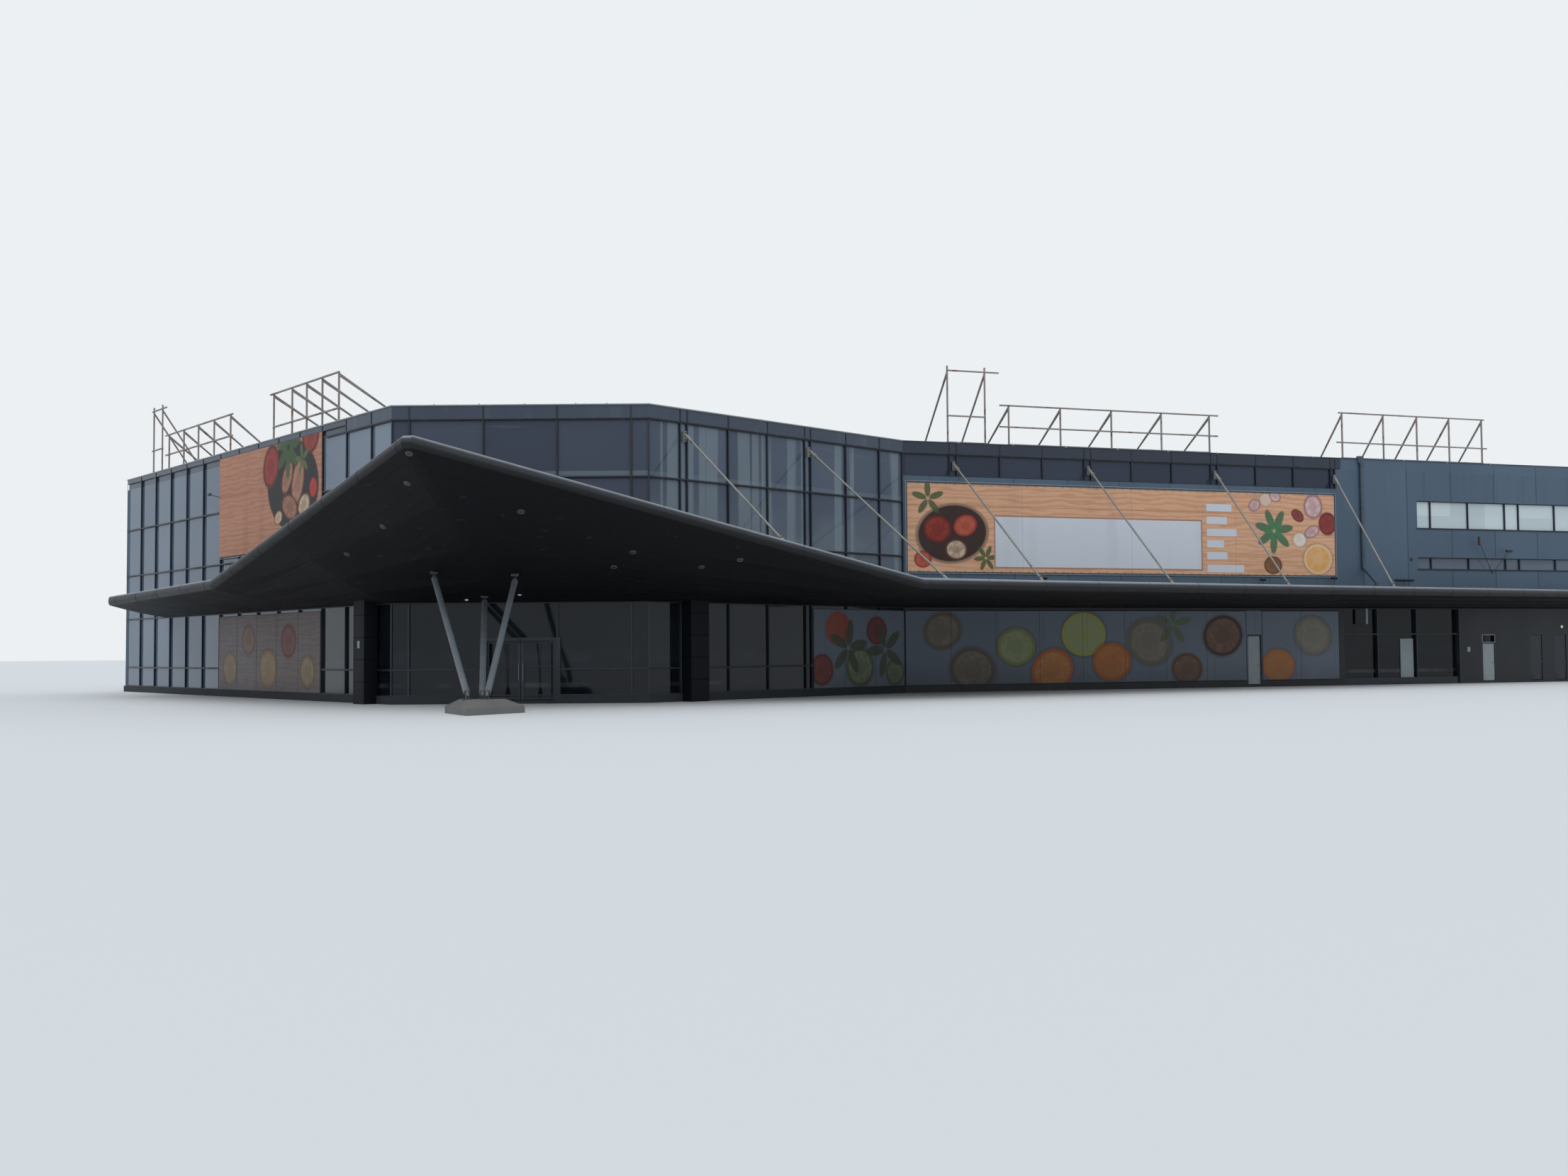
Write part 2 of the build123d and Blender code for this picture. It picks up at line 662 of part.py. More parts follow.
def section_plane(wall_point, nose_point):
    """Upright plane from the wall out to the nose, and how far that is."""
    across = nose_point - wall_point
    out = across.normalized()
    plane = Plane(origin=wall_point, x_dir=out, z_dir=out.cross(Vector(0, 0, 1)))
    return plane, across.length - NOSE / 2


def wing_section(wall_point, nose_point, crest):
    """Corners of a wing's section: a sagging soffit, the edge behind the nose and a flat top."""
    plane, reach = section_plane(wall_point, nose_point)
    rise = crest - NOSE - HEAD_RAIL
    shares = [n / SOFFIT_FOLDS for n in range(SOFFIT_FOLDS + 1)]
    soffit = [(t * reach, HEAD_RAIL + rise * (t - 4 * SOFFIT_SAG * t * (1 - t))) for t in shares]
    outline = soffit + [(reach, crest), (0, CANOPY_BACK)]
    return [plane.from_local_coords((x, y, 0)) for x, y in outline]


def nose_section(wall_point, nose_point, crest):
    """Half-round section of the metal nose on the wing's edge."""
    plane, reach = section_plane(wall_point, nose_point)
    with BuildSketch(plane) as section:
        with BuildLine():
            round_face = ThreePointArc(
                (reach, crest - NOSE), (reach + NOSE / 2, crest - NOSE / 2), (reach, crest)
            )
            Line(round_face @ 1, round_face @ 0)
        make_face()
    return section.sketch


def folded(one, other):
    """Solid between two sections, its sides folded from flat triangles."""
    sides = [Face(Wire.make_polygon(one)), Face(Wire.make_polygon(other))]
    for i in range(len(one)):
        j = (i + 1) % len(one)
        sides.append(Face(Wire.make_polygon([one[i], one[j], other[j]])))
        sides.append(Face(Wire.make_polygon([one[i], other[j], other[i]])))
    return Solid(Shell(sides))


# Canopy: two wings that meet in a crease from the peak to the front wall. The peak is cut
# flat, square to the crease, and a crest line starts at each end of that cut.
spine_foot = on_wall(FRONT, SPINE_FOOT)
cap_half = (peak - spine_foot).normalized().cross(Vector(0, 0, 1)) * (PEAK_CAP / 2)
left_start = peak + cap_half
right_start = peak - cap_half
left_crest = -along[LEFT]
right_end = on_wall(MAIN, MAIN_WALL, RIGHT_TIP_STAND_OUT)
right_crest = (right_end - right_start).normalized()
left_fall = (PEAK_HIGH - LEFT_KINK_HIGH) / LEFT_KINK
left_square = (corners[FRONT] - left_start).dot(left_crest)
right_fall = (PEAK_HIGH - RIGHT_KINK_HIGH) / RIGHT_KINK
right_square = (corners[RIGHT] - right_start).dot(right_crest)
right_square_end = (corners[MAIN] - right_start).dot(right_crest)
kink_share = (RIGHT_KINK - right_square) / (right_square_end - right_square)

# Each place along a wing: a point on the wall, one on the crest line and the crest's height.
spine = (spine_foot, peak, PEAK_HIGH)
left_places = (
    spine,
    (on_wall(FRONT, SPINE_FOOT - PEAK_CAP / 2), left_start, PEAK_HIGH),
    (corners[FRONT], left_start + left_crest * left_square, PEAK_HIGH - left_fall * left_square),
    (
        corners[FRONT] + left_crest * (LEFT_KINK - left_square),
        left_start + left_crest * LEFT_KINK,
        LEFT_KINK_HIGH,
    ),
    (
        corners[FRONT] + left_crest * LEFT_TIP_FOOT,
        left_start + left_crest * LEFT_TIP,
        LEFT_TIP_HIGH,
    ),
)
right_places = (
    spine,
    (on_wall(FRONT, SPINE_FOOT + PEAK_CAP / 2), right_start, PEAK_HIGH),
    (
        corners[RIGHT],
        right_start + right_crest * right_square,
        PEAK_HIGH - right_fall * right_square,
    ),
    (
        on_wall(RIGHT, RIGHT_WALL * kink_share),
        right_start + right_crest * RIGHT_KINK,
        RIGHT_KINK_HIGH,
    ),
    (corners[MAIN], right_start + right_crest * right_square_end, RIGHT_KINK_HIGH),
    (on_wall(MAIN, MAIN_WALL), right_end, RIGHT_TIP_HIGH),
)
with BuildPart() as canopy_left:
    sections = [wing_section(*place) for place in left_places]
    for one, other in zip(sections, sections[1:]):
        add(folded(one, other))
save(canopy_left, "canopy_left")

with BuildPart() as canopy_right:
    sections = [wing_section(*place) for place in right_places]
    for one, other in zip(sections, sections[1:]):
        add(folded(one, other))
save(canopy_right, "canopy_right")

for name, places in (("canopy_nose_left", left_places), ("canopy_nose_right", right_places)):
    with BuildPart() as canopy_nose:
        loft([nose_section(*place) for place in places], ruled=True)
    save(canopy_nose, name)


def height_at(pieces, point, pick):
    """Height where an upright line through a point meets some pieces."""
    line = Axis((point.X, point.Y, 0), (0, 0, 1))
    hits = [
        hit.Z
        for piece in pieces
        for face in piece.part.faces()
        for hit, _ in face.find_intersection_points(line)
    ]
    return pick(hits)


# Pedestal: a low triangle of concrete with a shallow mound. A triangle's sides lie half its
# radius from its middle, so the mound's sides move in by half the change of radius.
mound_run = (PEDESTAL_RADIUS - MOUND_TOP_RADIUS) / 2
mound_slope = degrees(atan2(mound_run, MOUND_HIGH - PEDESTAL_HIGH))
with BuildPart() as pedestal:
    with BuildSketch(Plane(origin=pedestal_middle)):
        RegularPolygon(PEDESTAL_RADIUS, 3, rotation=PEDESTAL_TURN)
    extrude(amount=PEDESTAL_HIGH)
    with BuildSketch(Plane(origin=pedestal_middle).offset(PEDESTAL_HIGH)):
        RegularPolygon(PEDESTAL_RADIUS, 3, rotation=PEDESTAL_TURN)
    extrude(amount=MOUND_HIGH - PEDESTAL_HIGH, taper=mound_slope)
save(pedestal, "pedestal")

# Three leaning columns. Each end is a cone with a tongue, held by a pin between two cheeks.
canopy = (canopy_left, canopy_right)
up = Vector(0, 0, 1)
cheek_gap = TONGUE / 2 + SEAT_GAP


def bracket(base, side, way):
    """Adds a plate with two cheeks and a pin, above its base or below it."""
    pin = base + up * (way * PIN_HIGH)
    for share in (-1, 1):
        inner = Plane(origin=pin + side * (share * cheek_gap), x_dir=side.cross(up), z_dir=side * share)
        with BuildSketch(inner) as cheek:
            RegularPolygon(CHEEK / 2, PIN_SIDES)
            with Locations((0, share * way * PIN_HIGH / 2)):
                Rectangle(CHEEK, PIN_HIGH)
        extrude(cheek.sketch, amount=CHEEK_THICK)
    with BuildSketch(Plane(origin=pin, z_dir=side)) as bolt:
        RegularPolygon(PIN_RADIUS, PIN_SIDES)
    extrude(bolt.sketch, amount=PIN_LONG / 2, both=True)
    with BuildSketch(Plane(origin=base, x_dir=side.cross(up), z_dir=up)) as base_plate:
        Rectangle(BASE_PLATE, BASE_PLATE)
    extrude(base_plate.sketch, amount=-way * BASE_PLATE_THICK)


column_lines = []
for foot, top in zip(column_feet, column_tops):
    base = foot + up * BASE_PLATE_THICK
    head = top + up * (height_at(canopy, top, min) - BASE_PLATE_THICK)
    low_pin = base + up * PIN_HIGH
    high_pin = head - up * PIN_HIGH
    column_lines.append((base, head, low_pin, high_pin, (high_pin - low_pin).normalized()))

with BuildPart() as columns:
    for base, head, low_pin, high_pin, lean in column_lines:
        side = lean.cross(up).normalized()
        for pin, way in ((low_pin, lean), (high_pin, -lean)):
            with BuildSketch(Plane(origin=pin - side * (TONGUE / 2), x_dir=way, z_dir=side)):
                RegularPolygon(CHEEK / 2, PIN_SIDES)
                with Locations((TONGUE_LONG / 2, 0)):
                    Rectangle(TONGUE_LONG, CHEEK)
                RegularPolygon(PIN_RADIUS + 2 * SEAT_GAP, PIN_SIDES, mode=Mode.SUBTRACT)
            extrude(amount=TONGUE)
            with BuildSketch(Plane(origin=pin + way * TONGUE_LONG, z_dir=way)):
                RegularPolygon(COLUMN_TIP_RADIUS + CHEEK / 2, COLUMN_SIDES)
            extrude(amount=COLUMN_TAPER - TONGUE_LONG)
        length = (high_pin - low_pin).length - 2 * COLUMN_TAPER
        with BuildSketch(Plane(origin=low_pin + lean * COLUMN_TAPER, z_dir=lean)):
            RegularPolygon(COLUMN_RADIUS, COLUMN_SIDES)
        extrude(amount=length)
save(columns, "columns")

with BuildPart() as column_brackets:
    for base, head, low_pin, high_pin, lean in column_lines:
        side = lean.cross(up).normalized()
        bracket(base, side, 1)
        bracket(head, side, -1)
        with BuildSketch(Plane(origin=head, x_dir=side.cross(up), z_dir=up)):
            Rectangle(BASE_PLATE, BASE_PLATE)
        extrude(amount=BASE_PLATE)
    for piece in canopy:
        add(piece.part, mode=Mode.SUBTRACT)
save(column_brackets, "column_brackets")

# Clad piers against the curtain walls, from the ground to the canopy.
with BuildPart() as entrance_piers:
    for wall, place in ((LEFT, lengths[LEFT] - LEFT_PIER), (RIGHT, RIGHT_PIER)):
        block(wall, place - PIER / 2, place + PIER / 2, 0, HEAD_RAIL + NOSE, -PIER_STAND, 0)
    for piece in (plinth, canopy_left, canopy_right):
        add(piece.part, mode=Mode.SUBTRACT)
save(entrance_piers, "entrance_piers")

# Tie rods from plates high on the walls down to the front of the canopy.
rod_places = [
    (RIGHT, RIGHT_FIRST_PANEL + TWIN_STRIP / 2),
    (RIGHT, RIGHT_FIRST_PANEL + RIGHT_TWIN_BAYS * PANEL + TWIN_STRIP / 2),
]
rod_places += [(MAIN, STRIP_FIRST + STRIP_TWIN_EVERY * PANEL * n) for n in range(4)]
with BuildPart() as tie_rods:
    for wall, place in rod_places:
        base = on_wall(wall, place)
        gap = (right_end - base).dot(right_crest.cross(up)) / outward[wall].dot(right_crest.cross(up))
        anchor = on_wall(wall, place, gap - ROD_SETBACK)
        roof = height_at((canopy_right,), anchor, max)
        low_end = anchor + up * (roof - ROD_LINK)
        high_end = on_wall(wall, place, ROD_LINK) + up * ROD_TOP
        run = (high_end - low_end).normalized()
        with BuildSketch(Plane(origin=low_end, z_dir=run)):
            RegularPolygon(ROD_RADIUS, ROD_SIDES)
        extrude(amount=(high_end - low_end).length)
        for sleeve_start in (low_end, high_end - run * (ROD_SLEEVE + ROD_LINK)):
            with BuildSketch(Plane(origin=sleeve_start, z_dir=run)):
                RegularPolygon(ROD_SLEEVE_RADIUS, ROD_SIDES)
            extrude(amount=ROD_SLEEVE)
        block(
            wall,
            place - ROD_PLATE_WIDE / 2,
            place + ROD_PLATE_WIDE / 2,
            ROD_TOP - ROD_PLATE,
            ROD_TOP + ROD_PLATE / 2,
            -ROD_LINK,
            0,
        )
    add(canopy_right.part, mode=Mode.SUBTRACT)
save(tie_rods, "tie_rods")


def sign_frame(wall, sizes):
    """Adds a frame of posts and rails on the roof's edge, with shoes and braces behind it."""
    posts, top, rails, reach = sizes
    inner = SIGN_INSET + POST / 2
    shoe_top = WALL_TOP + POST
    first, last = posts[0], posts[-1]
    with BuildSketch(faces[wall].offset(-SIGN_INSET)) as front:
        with Locations(*[(place, (WALL_TOP + top) / 2) for place in posts]):
            Rectangle(POST, top - WALL_TOP)
        for high, before, after in ((WALL_TOP + POST / 2, POST, POST), *rails):
            with Locations(((first + last + after - before) / 2, high)):
                Rectangle(last - first + before + after, POST)
    extrude(front.sketch, amount=-POST)
    brace_top = rails[0][0] - POST / 2
    for place in posts:
        with BuildSketch(cross_plane(wall, place)) as brace:
            with BuildLine():
                Polyline(
                    (inner, brace_top),
                    (inner + POST / 2 + reach, shoe_top),
                    (inner - POST / 2 + reach, shoe_top),
                    (inner, brace_top - 2 * POST),
                    close=True,
                )
            make_face()
            with Locations((inner + reach / 2, shoe_top - POST / 2)):
                Rectangle(reach + POST, POST)
            with Locations((inner + reach, (BAND_LOW + shoe_top) / 2)):
                Rectangle(POST, shoe_top - BAND_LOW)
        extrude(brace.sketch, amount=POST / 2, both=True)


with BuildPart() as sign_frames_left:
    sign_frame(LEFT, LEFT_SIGN_1)
    sign_frame(LEFT, LEFT_SIGN_2)
    sign_frame(LEFT, LEFT_SIGN_3)
save(sign_frames_left, "sign_frames_left")

with BuildPart() as sign_frames_right:
    sign_frame(MAIN, MAIN_SIGN_1)
    sign_frame(MAIN, MAIN_SIGN_2)
    sign_frame(MAIN, MAIN_SIGN_3)
save(sign_frames_right, "sign_frames_right")

# Rain pipe: down the metal wall, then aslant to its outlet on the canopy.
with BuildPart() as rain_pipe:
    pipe_turn = on_wall(MAIN, PIPE_X, PIPE_RADIUS) + up * PIPE_BEND_HIGH
    pipe_outlet = on_wall(MAIN, PIPE_X, PIPE_FOOT_STAND_OUT)
    with BuildLine():
        Polyline(
            (pipe_turn.X, pipe_turn.Y, WALL_TOP),
            pipe_turn,
            pipe_outlet + up * PIPE_FOOT_HIGH,
            pipe_outlet + up * (CANOPY_BACK - PIPE_RADIUS),
        )
    with BuildSketch(Plane(origin=(pipe_turn.X, pipe_turn.Y, WALL_TOP), z_dir=-up)):
        Circle(PIPE_RADIUS)
    sweep(transition=Transition.RIGHT)
    add(canopy_right.part, mode=Mode.SUBTRACT)
save(rain_pipe, "rain_pipe")
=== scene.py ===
# %% [markdown]
# # A shopping centre in Blender
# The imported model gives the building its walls, glass, canopy and doors at one tenth of
# their real size. This notebook gives every surface a finish and adds the small things
# that show from the ground: caps on the window bars, boards below the canopy, rods'
# fittings, lamps and printed banners. Everything is in metres, in the model's frame.

# %% Load the frame
import bpy
import bmesh
import json
import math
from mathutils import Matrix, Vector
from mathutils.bvhtree import BVHTree


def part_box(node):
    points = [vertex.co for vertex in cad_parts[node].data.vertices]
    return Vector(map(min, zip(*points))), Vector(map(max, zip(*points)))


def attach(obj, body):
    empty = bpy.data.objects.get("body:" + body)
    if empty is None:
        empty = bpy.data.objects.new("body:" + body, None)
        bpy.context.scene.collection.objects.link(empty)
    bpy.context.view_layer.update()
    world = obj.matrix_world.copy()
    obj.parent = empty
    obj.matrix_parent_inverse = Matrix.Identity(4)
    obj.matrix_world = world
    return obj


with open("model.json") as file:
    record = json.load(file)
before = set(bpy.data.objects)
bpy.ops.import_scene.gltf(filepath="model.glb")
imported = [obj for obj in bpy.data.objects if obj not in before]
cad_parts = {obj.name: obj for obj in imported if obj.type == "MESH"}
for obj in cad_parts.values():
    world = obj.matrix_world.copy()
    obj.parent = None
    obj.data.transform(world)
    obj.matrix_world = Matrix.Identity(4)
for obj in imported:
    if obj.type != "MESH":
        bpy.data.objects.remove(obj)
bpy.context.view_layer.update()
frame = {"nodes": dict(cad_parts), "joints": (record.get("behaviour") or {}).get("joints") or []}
BODY = "building"

# %% [markdown]
# ## Where the walls stand
# The plan is a chain of straight walls. Each has a length and a heading, and the chain
# starts at the inner corner, where the long main wall begins. The frame says where that
# corner is, so nothing has to be fitted by eye: a point on a wall is a distance along it,
# a height and how far it stands out.

# %% The chain of walls
LEFT, FRONT, RIGHT, MAIN, END, BACK = range(6)
WALL_LENGTHS = {LEFT: 3.367, FRONT: 1.060, RIGHT: 1.606, MAIN: 4.770}
WALL_HEADINGS = {LEFT: -67.2, FRONT: -18.2, RIGHT: 26.8, MAIN: 0.0, END: 90.0, BACK: 180.0}
UP = Vector((0, 0, 1))


def heading(degrees):
    """Level direction at an angle from the X axis."""
    return Vector((math.cos(math.radians(degrees)), math.sin(math.radians(degrees)), 0))


along = {wall: heading(angle) for wall, angle in WALL_HEADINGS.items()}
outward = {wall: direction.cross(UP) for wall, direction in along.items()}
main_end_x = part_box("end_wall")[1].x
inner_corner = Vector((main_end_x - WALL_LENGTHS[MAIN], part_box("ground_wall")[0].y, 0))
corners = {MAIN: inner_corner}
for wall in (RIGHT, FRONT, LEFT):
    corners[wall] = corners[wall + 1] - along[wall] * WALL_LENGTHS[wall]
corners[END] = corners[MAIN] + along[MAIN] * WALL_LENGTHS[MAIN]
corners[BACK] = Vector((corners[END].x, corners[LEFT].y, 0))
WALL_LENGTHS[END] = (corners[BACK] - corners[END]).length
WALL_LENGTHS[BACK] = (corners[LEFT] - corners[BACK]).length
print("corners", [tuple(round(v, 3) for v in corners[w][:2]) for w in (LEFT, FRONT, RIGHT, MAIN)])


def on_wall(wall, distance, height=0.0, stand_out=0.0):
    """Point beside a wall."""
    return corners[wall] + along[wall] * distance + outward[wall] * stand_out + UP * height


def ledge(wall, height, stand_out):
    """Ends of a level line in front of a wall, mitred with the lines of its neighbours."""
    ends = []
    for before, after in (((wall - 1) % 6, wall), (wall, (wall + 1) % 6)):
        cosine = outward[before].dot(outward[after])
        mitre = (outward[before] + outward[after]) * (stand_out / (1 + cosine))
        ends.append(corners[after] + mitre + UP * height)
    return ends


# %% [markdown]
# ## The camera
# The picture was taken from in front of the corner, at eye height and well below the
# eaves. The lines of the walls meet at points on one level line, and from these the
# lens, the standpoint and the slight tilt of the camera follow.

# %% Camera
EYE = Vector((-2.812, -6.692, 0.21))
LOOK = Vector((0.312, 0.95, 0)).normalized()
PHOTO_WIDTH = 2212
PHOTO_HEIGHT = 1659
FOCAL_PIXELS = 2100
HORIZON_ROW = 917.5
HORIZON_SLOPE = 0.0074
SENSOR = 36.0

pitch = math.atan((HORIZON_ROW - PHOTO_HEIGHT / 2) / FOCAL_PIXELS)
roll = math.atan(HORIZON_SLOPE)
level_right = LOOK.cross(UP)
camera_back = -(LOOK * math.cos(pitch) + UP * math.sin(pitch))
camera_up = camera_back.cross(level_right)
tilted_right = level_right * math.cos(roll) - camera_up * math.sin(roll)
tilted_up = camera_back.cross(tilted_right)
eye = inner_corner + EYE
turn = Matrix((tilted_right, tilted_up, camera_back)).transposed()

camera_data = bpy.data.cameras.new("camera")
camera_data.lens = SENSOR * FOCAL_PIXELS / PHOTO_WIDTH
camera_data.sensor_width = SENSOR
camera_data.clip_start = 0.05
camera_data.clip_end = 200.0
camera = bpy.data.objects.new("camera", camera_data)
bpy.context.scene.collection.objects.link(camera)
camera.matrix_world = Matrix.Translation(eye) @ turn.to_4x4()
bpy.context.scene.camera = camera
bpy.context.scene.view_settings.view_transform = "Standard"
print("lens", round(camera_data.lens, 2), "eye", tuple(round(v, 3) for v in eye))


def sight(column, row):
    """Direction from the eye through a place in the photograph."""
    x = (column - PHOTO_WIDTH / 2) / FOCAL_PIXELS
    y = (PHOTO_HEIGHT / 2 - row) / FOCAL_PIXELS
    return (turn @ Vector((x, y, -1))).normalized()


def seen_on(wall, column, row):
    """Distance along a wall and height of what the photograph shows at one place."""
    ray = sight(column, row)
    reach = (corners[wall] - eye).dot(outward[wall]) / ray.dot(outward[wall])
    point = eye + ray * reach
    return (point - corners[wall]).dot(along[wall]), point.z


# %% [markdown]
# ## Shader maths as expressions
# A finish is a small sum: a base colour, stains where a mask is high, joints where a
# coordinate comes near a line. Written with Math nodes such a sum is long and hard to
# read. The class below wraps a socket, so that `noise * 0.3 + 0.5` adds the nodes itself.
# Colours are written as they look on a screen, with channels from 0 to 255.

# %% A value that Python's operators work on
def both_ways(operation):
    """An operator's method and its reflected form."""
    def plain(one, other):
        return one.maths(operation, one, other)

    def reflected(one, other):
        return one.maths(operation, other, one)

    return plain, reflected


class Value:
    """One socket of a node tree; arithmetic on it adds Math nodes."""

    def __init__(self, owner, socket):
        self.owner = owner
        self.socket = socket

    def maths(self, operation, *values):
        """Math node of one or two values."""
        sockets = dict(zip(("Value", "Value_001"), values))
        return self.owner.node("ShaderNodeMath", {"operation": operation}, sockets)

    __add__, __radd__ = both_ways("ADD")
    __sub__, __rsub__ = both_ways("SUBTRACT")
    __mul__, __rmul__ = both_ways("MULTIPLY")
    __truediv__, __rtruediv__ = both_ways("DIVIDE")
    __mod__, __rmod__ = both_ways("FLOORED_MODULO")
    __gt__, __lt__ = both_ways("GREATER_THAN")[0], both_ways("LESS_THAN")[0]

    def __abs__(self):
        return self.maths("ABSOLUTE", self)

    def floor(self):
        """Largest whole number that is not above the value."""
        return self.maths("FLOOR", self)

    def ramp(self, low, high):
        """0 below one value, 1 above another and smooth between them."""
        settings = {"interpolation_type": "SMOOTHSTEP"}
        sockets = {"Value": self, "From Min": low, "From Max": high}
        return self.owner.node("ShaderNodeMapRange", settings, sockets)

    def band(self, low, high, soft):
        """1 between two values and 0 outside them, with soft edges."""
        return self.ramp(low, low + soft) * (1.0 - self.ramp(high - soft, high))

    def joints(self, step, low, high):
        """1 at every whole step and 0 between them."""
        return abs((self % step) / step - 0.5).ramp(low, high)

    def output(self, name):
        """Another output of the node that gave this value."""
        return Value(self.owner, self.owner.find(self.socket.node.outputs, name))


# %% Colours
def shade(red, green, blue):
    """Linear colour of a shade as it looks on a screen, each channel from 0 to 255."""
    channels = [value / 255 for value in (red, green, blue)]
    return tuple(v / 12.92 if v <= 0.04045 else ((v + 0.055) / 1.055) ** 2.4 for v in channels)


print("shade of mid grey", [round(v, 3) for v in shade(128, 128, 128)])


# %% Any node tree
class Tree:
    """A node tree, and the one way in which this notebook adds nodes to it."""

    def __init__(self, tree):
        self.tree = tree

    def find(self, sockets, key):
        """Socket by identifier, or else by name."""
        exact = [socket for socket in sockets if socket.identifier == key]
        named = [socket for socket in sockets if socket.name == key and socket.enabled]
        return (exact or named)[0]

    def join(self, socket, value):
        """Links a value, or a list of them, to a socket, or sets a number or colour."""
        if isinstance(value, list):
            for part in value:
                self.join(socket, part)
        elif isinstance(value, Value):
            self.tree.links.new(value.socket, socket)
        elif socket.type == "RGBA":
            socket.default_value = (*shade(*value), 1.0)
        else:
            socket.default_value = value

    def node(self, kind, settings=None, sockets=None, out=None):
        """Adds any node: settings first, then its sockets' values or links."""
        made = self.tree.nodes.new(kind)
        for key, value in (settings or {}).items():
            setattr(made, key, value)
        for key, value in (sockets or {}).items():
            self.join(self.find(made.inputs, key), value)
        return Value(self, made.outputs[0] if out is None else self.find(made.outputs, out))


# %% One finish and its nodes
class Finish(Tree):
    """A material made from nodes."""

    def __init__(self, name, rough=0.5, metal=0.0, specular=0.5):
        self.material = bpy.data.materials.new(name)
        self.material.use_nodes = True
        super().__init__(self.material.node_tree)
        self.shader = self.tree.nodes["Principled BSDF"]
        self.shader.inputs["Specular IOR Level"].default_value = specular
        self.put("Roughness", rough)
        self.put("Metallic", metal)
        self.place = self.node("ShaderNodeTexCoord", out="Object")

    def put(self, name, value):
        """Sets or links one socket of the shader."""
        self.join(self.shader.inputs[name], value)

    def mix(self, factor, low, high):
        """Colour between two colours."""
        sockets = {"Factor_Float": factor, "A_Color": low, "B_Color": high}
        settings = {"data_type": "RGBA"}
        return self.node("ShaderNodeMix", settings, sockets, "Result_Color")

    def noise(self, scale, detail=3.0, stretch=(1, 1, 1), seed=0.0):
        """Noise over the object's coordinates, from 0 to 1, stretched by three factors."""
        settings = {"vector_type": "POINT"}
        sockets = {"Vector": self.place, "Scale": stretch, "Location": (seed, seed, seed)}
        spot = self.node("ShaderNodeMapping", settings, sockets)
        sockets = {"Vector": spot, "Scale": scale, "Detail": detail}
        return self.node("ShaderNodeTexNoise", None, sockets)

    def dot(self, one, other):
        """How far one vector reaches along another."""
        sockets = {"Vector": one, "Vector_001": other}
        return self.node("ShaderNodeVectorMath", {"operation": "DOT_PRODUCT"}, sockets, "Value")

    def measure(self, direction, start=0.0):
        """Distance along a direction, from a start."""
        return self.dot(self.place, tuple(direction)) - start

    def upward(self):
        """How far the surface looks up: 1 on a level top, 0 upright, -1 from below."""
        return self.dot(self.node("ShaderNodeNewGeometry", out="Normal"), (0, 0, 1))

    def flat(self, first, second):
        """Point of a plane from two distances."""
        return self.node("ShaderNodeCombineXYZ", None, {"X": first, "Y": second})

    def cells(self, first, second, scale, seed=0.0):
        """Distance to the middle of the nearest cell of a loose pattern in a plane."""
        sockets = {"Vector": self.flat(first + seed, second), "Scale": scale}
        return self.node("ShaderNodeTexVoronoi", {"voronoi_dimensions": "2D"}, sockets, "Distance")

    def random(self, first, second, seed=0.0):
        """Random number for a pair of whole numbers."""
        vector = self.node("ShaderNodeCombineXYZ", None, {"X": first, "Y": second, "Z": seed})
        settings = {"noise_dimensions": "3D"}
        return self.node("ShaderNodeTexWhiteNoise", settings, {"Vector": vector}, "Value")

    def bump(self, height, distance, strength=1.0):
        """Roughens the surface by a height."""
        sockets = {"Height": height, "Distance": distance, "Strength": strength}
        self.put("Normal", self.node("ShaderNodeBump", None, sockets))

    def show_on(self, *nodes):
        """Gives the finish to CAD nodes."""
        for name in nodes:
            slots = frame["nodes"][name].data.materials
            slots.clear()
            slots.append(self.material)
        print(self.material.name, "of", len(self.tree.nodes), "nodes on", *nodes)

# %% [markdown]
# ## Floor and light
# The model stands on a pale floor under an even white sky, which is close to the dull
# day in the picture. The world gives soft light, and one broad, weak sun gives the little
# shadow there is. Camera rays, and rays that pass through a surface, see a paler sky.

# %% Floor
FLOOR_REACH = 60.0
floor_mesh = bpy.data.meshes.new("floor")
square = ((-1, -1), (1, -1), (1, 1), (-1, 1))
floor_corners = [(x * FLOOR_REACH, y * FLOOR_REACH, 0) for x, y in square]
floor_mesh.from_pydata(floor_corners, [], [(0, 1, 2, 3)])
floor = bpy.data.objects.new("floor", floor_mesh)
bpy.context.scene.collection.objects.link(floor)
floor_finish = Finish("pale_floor", rough=0.9)
floor_finish.put("Base Color", (226, 228, 229))
floor_mesh.materials.append(floor_finish.material)
print("floor", 2 * FLOOR_REACH, "m wide")

# %% World and lamps
LIGHT_STRENGTH = 0.95
SUN_STRENGTH = 0.9
SUN_ANGLE = 60.0
SUN_TURN = (38, -14)
world = bpy.data.worlds.new("overcast")
bpy.context.scene.world = world
world.use_nodes = True
world.node_tree.nodes.clear()
sky = Tree(world.node_tree)
camera_ray = sky.node("ShaderNodeLightPath", out="Is Camera Ray")
seen = sky.node("ShaderNodeMath", {"operation": "MAXIMUM"}, {
    "Value": camera_ray, "Value_001": camera_ray.output("Is Transmission Ray")})
lighting, backdrop = [
    sky.node("ShaderNodeBackground", None, {"Color": colour, "Strength": strength})
    for colour, strength in (((214, 221, 228), LIGHT_STRENGTH), ((236, 240, 243), 1.0))]
choice = sky.node("ShaderNodeMixShader", None, {
    "Fac": seen, "Shader": lighting, "Shader_001": backdrop})
sky.join(sky.tree.nodes.new("ShaderNodeOutputWorld").inputs["Surface"], choice)

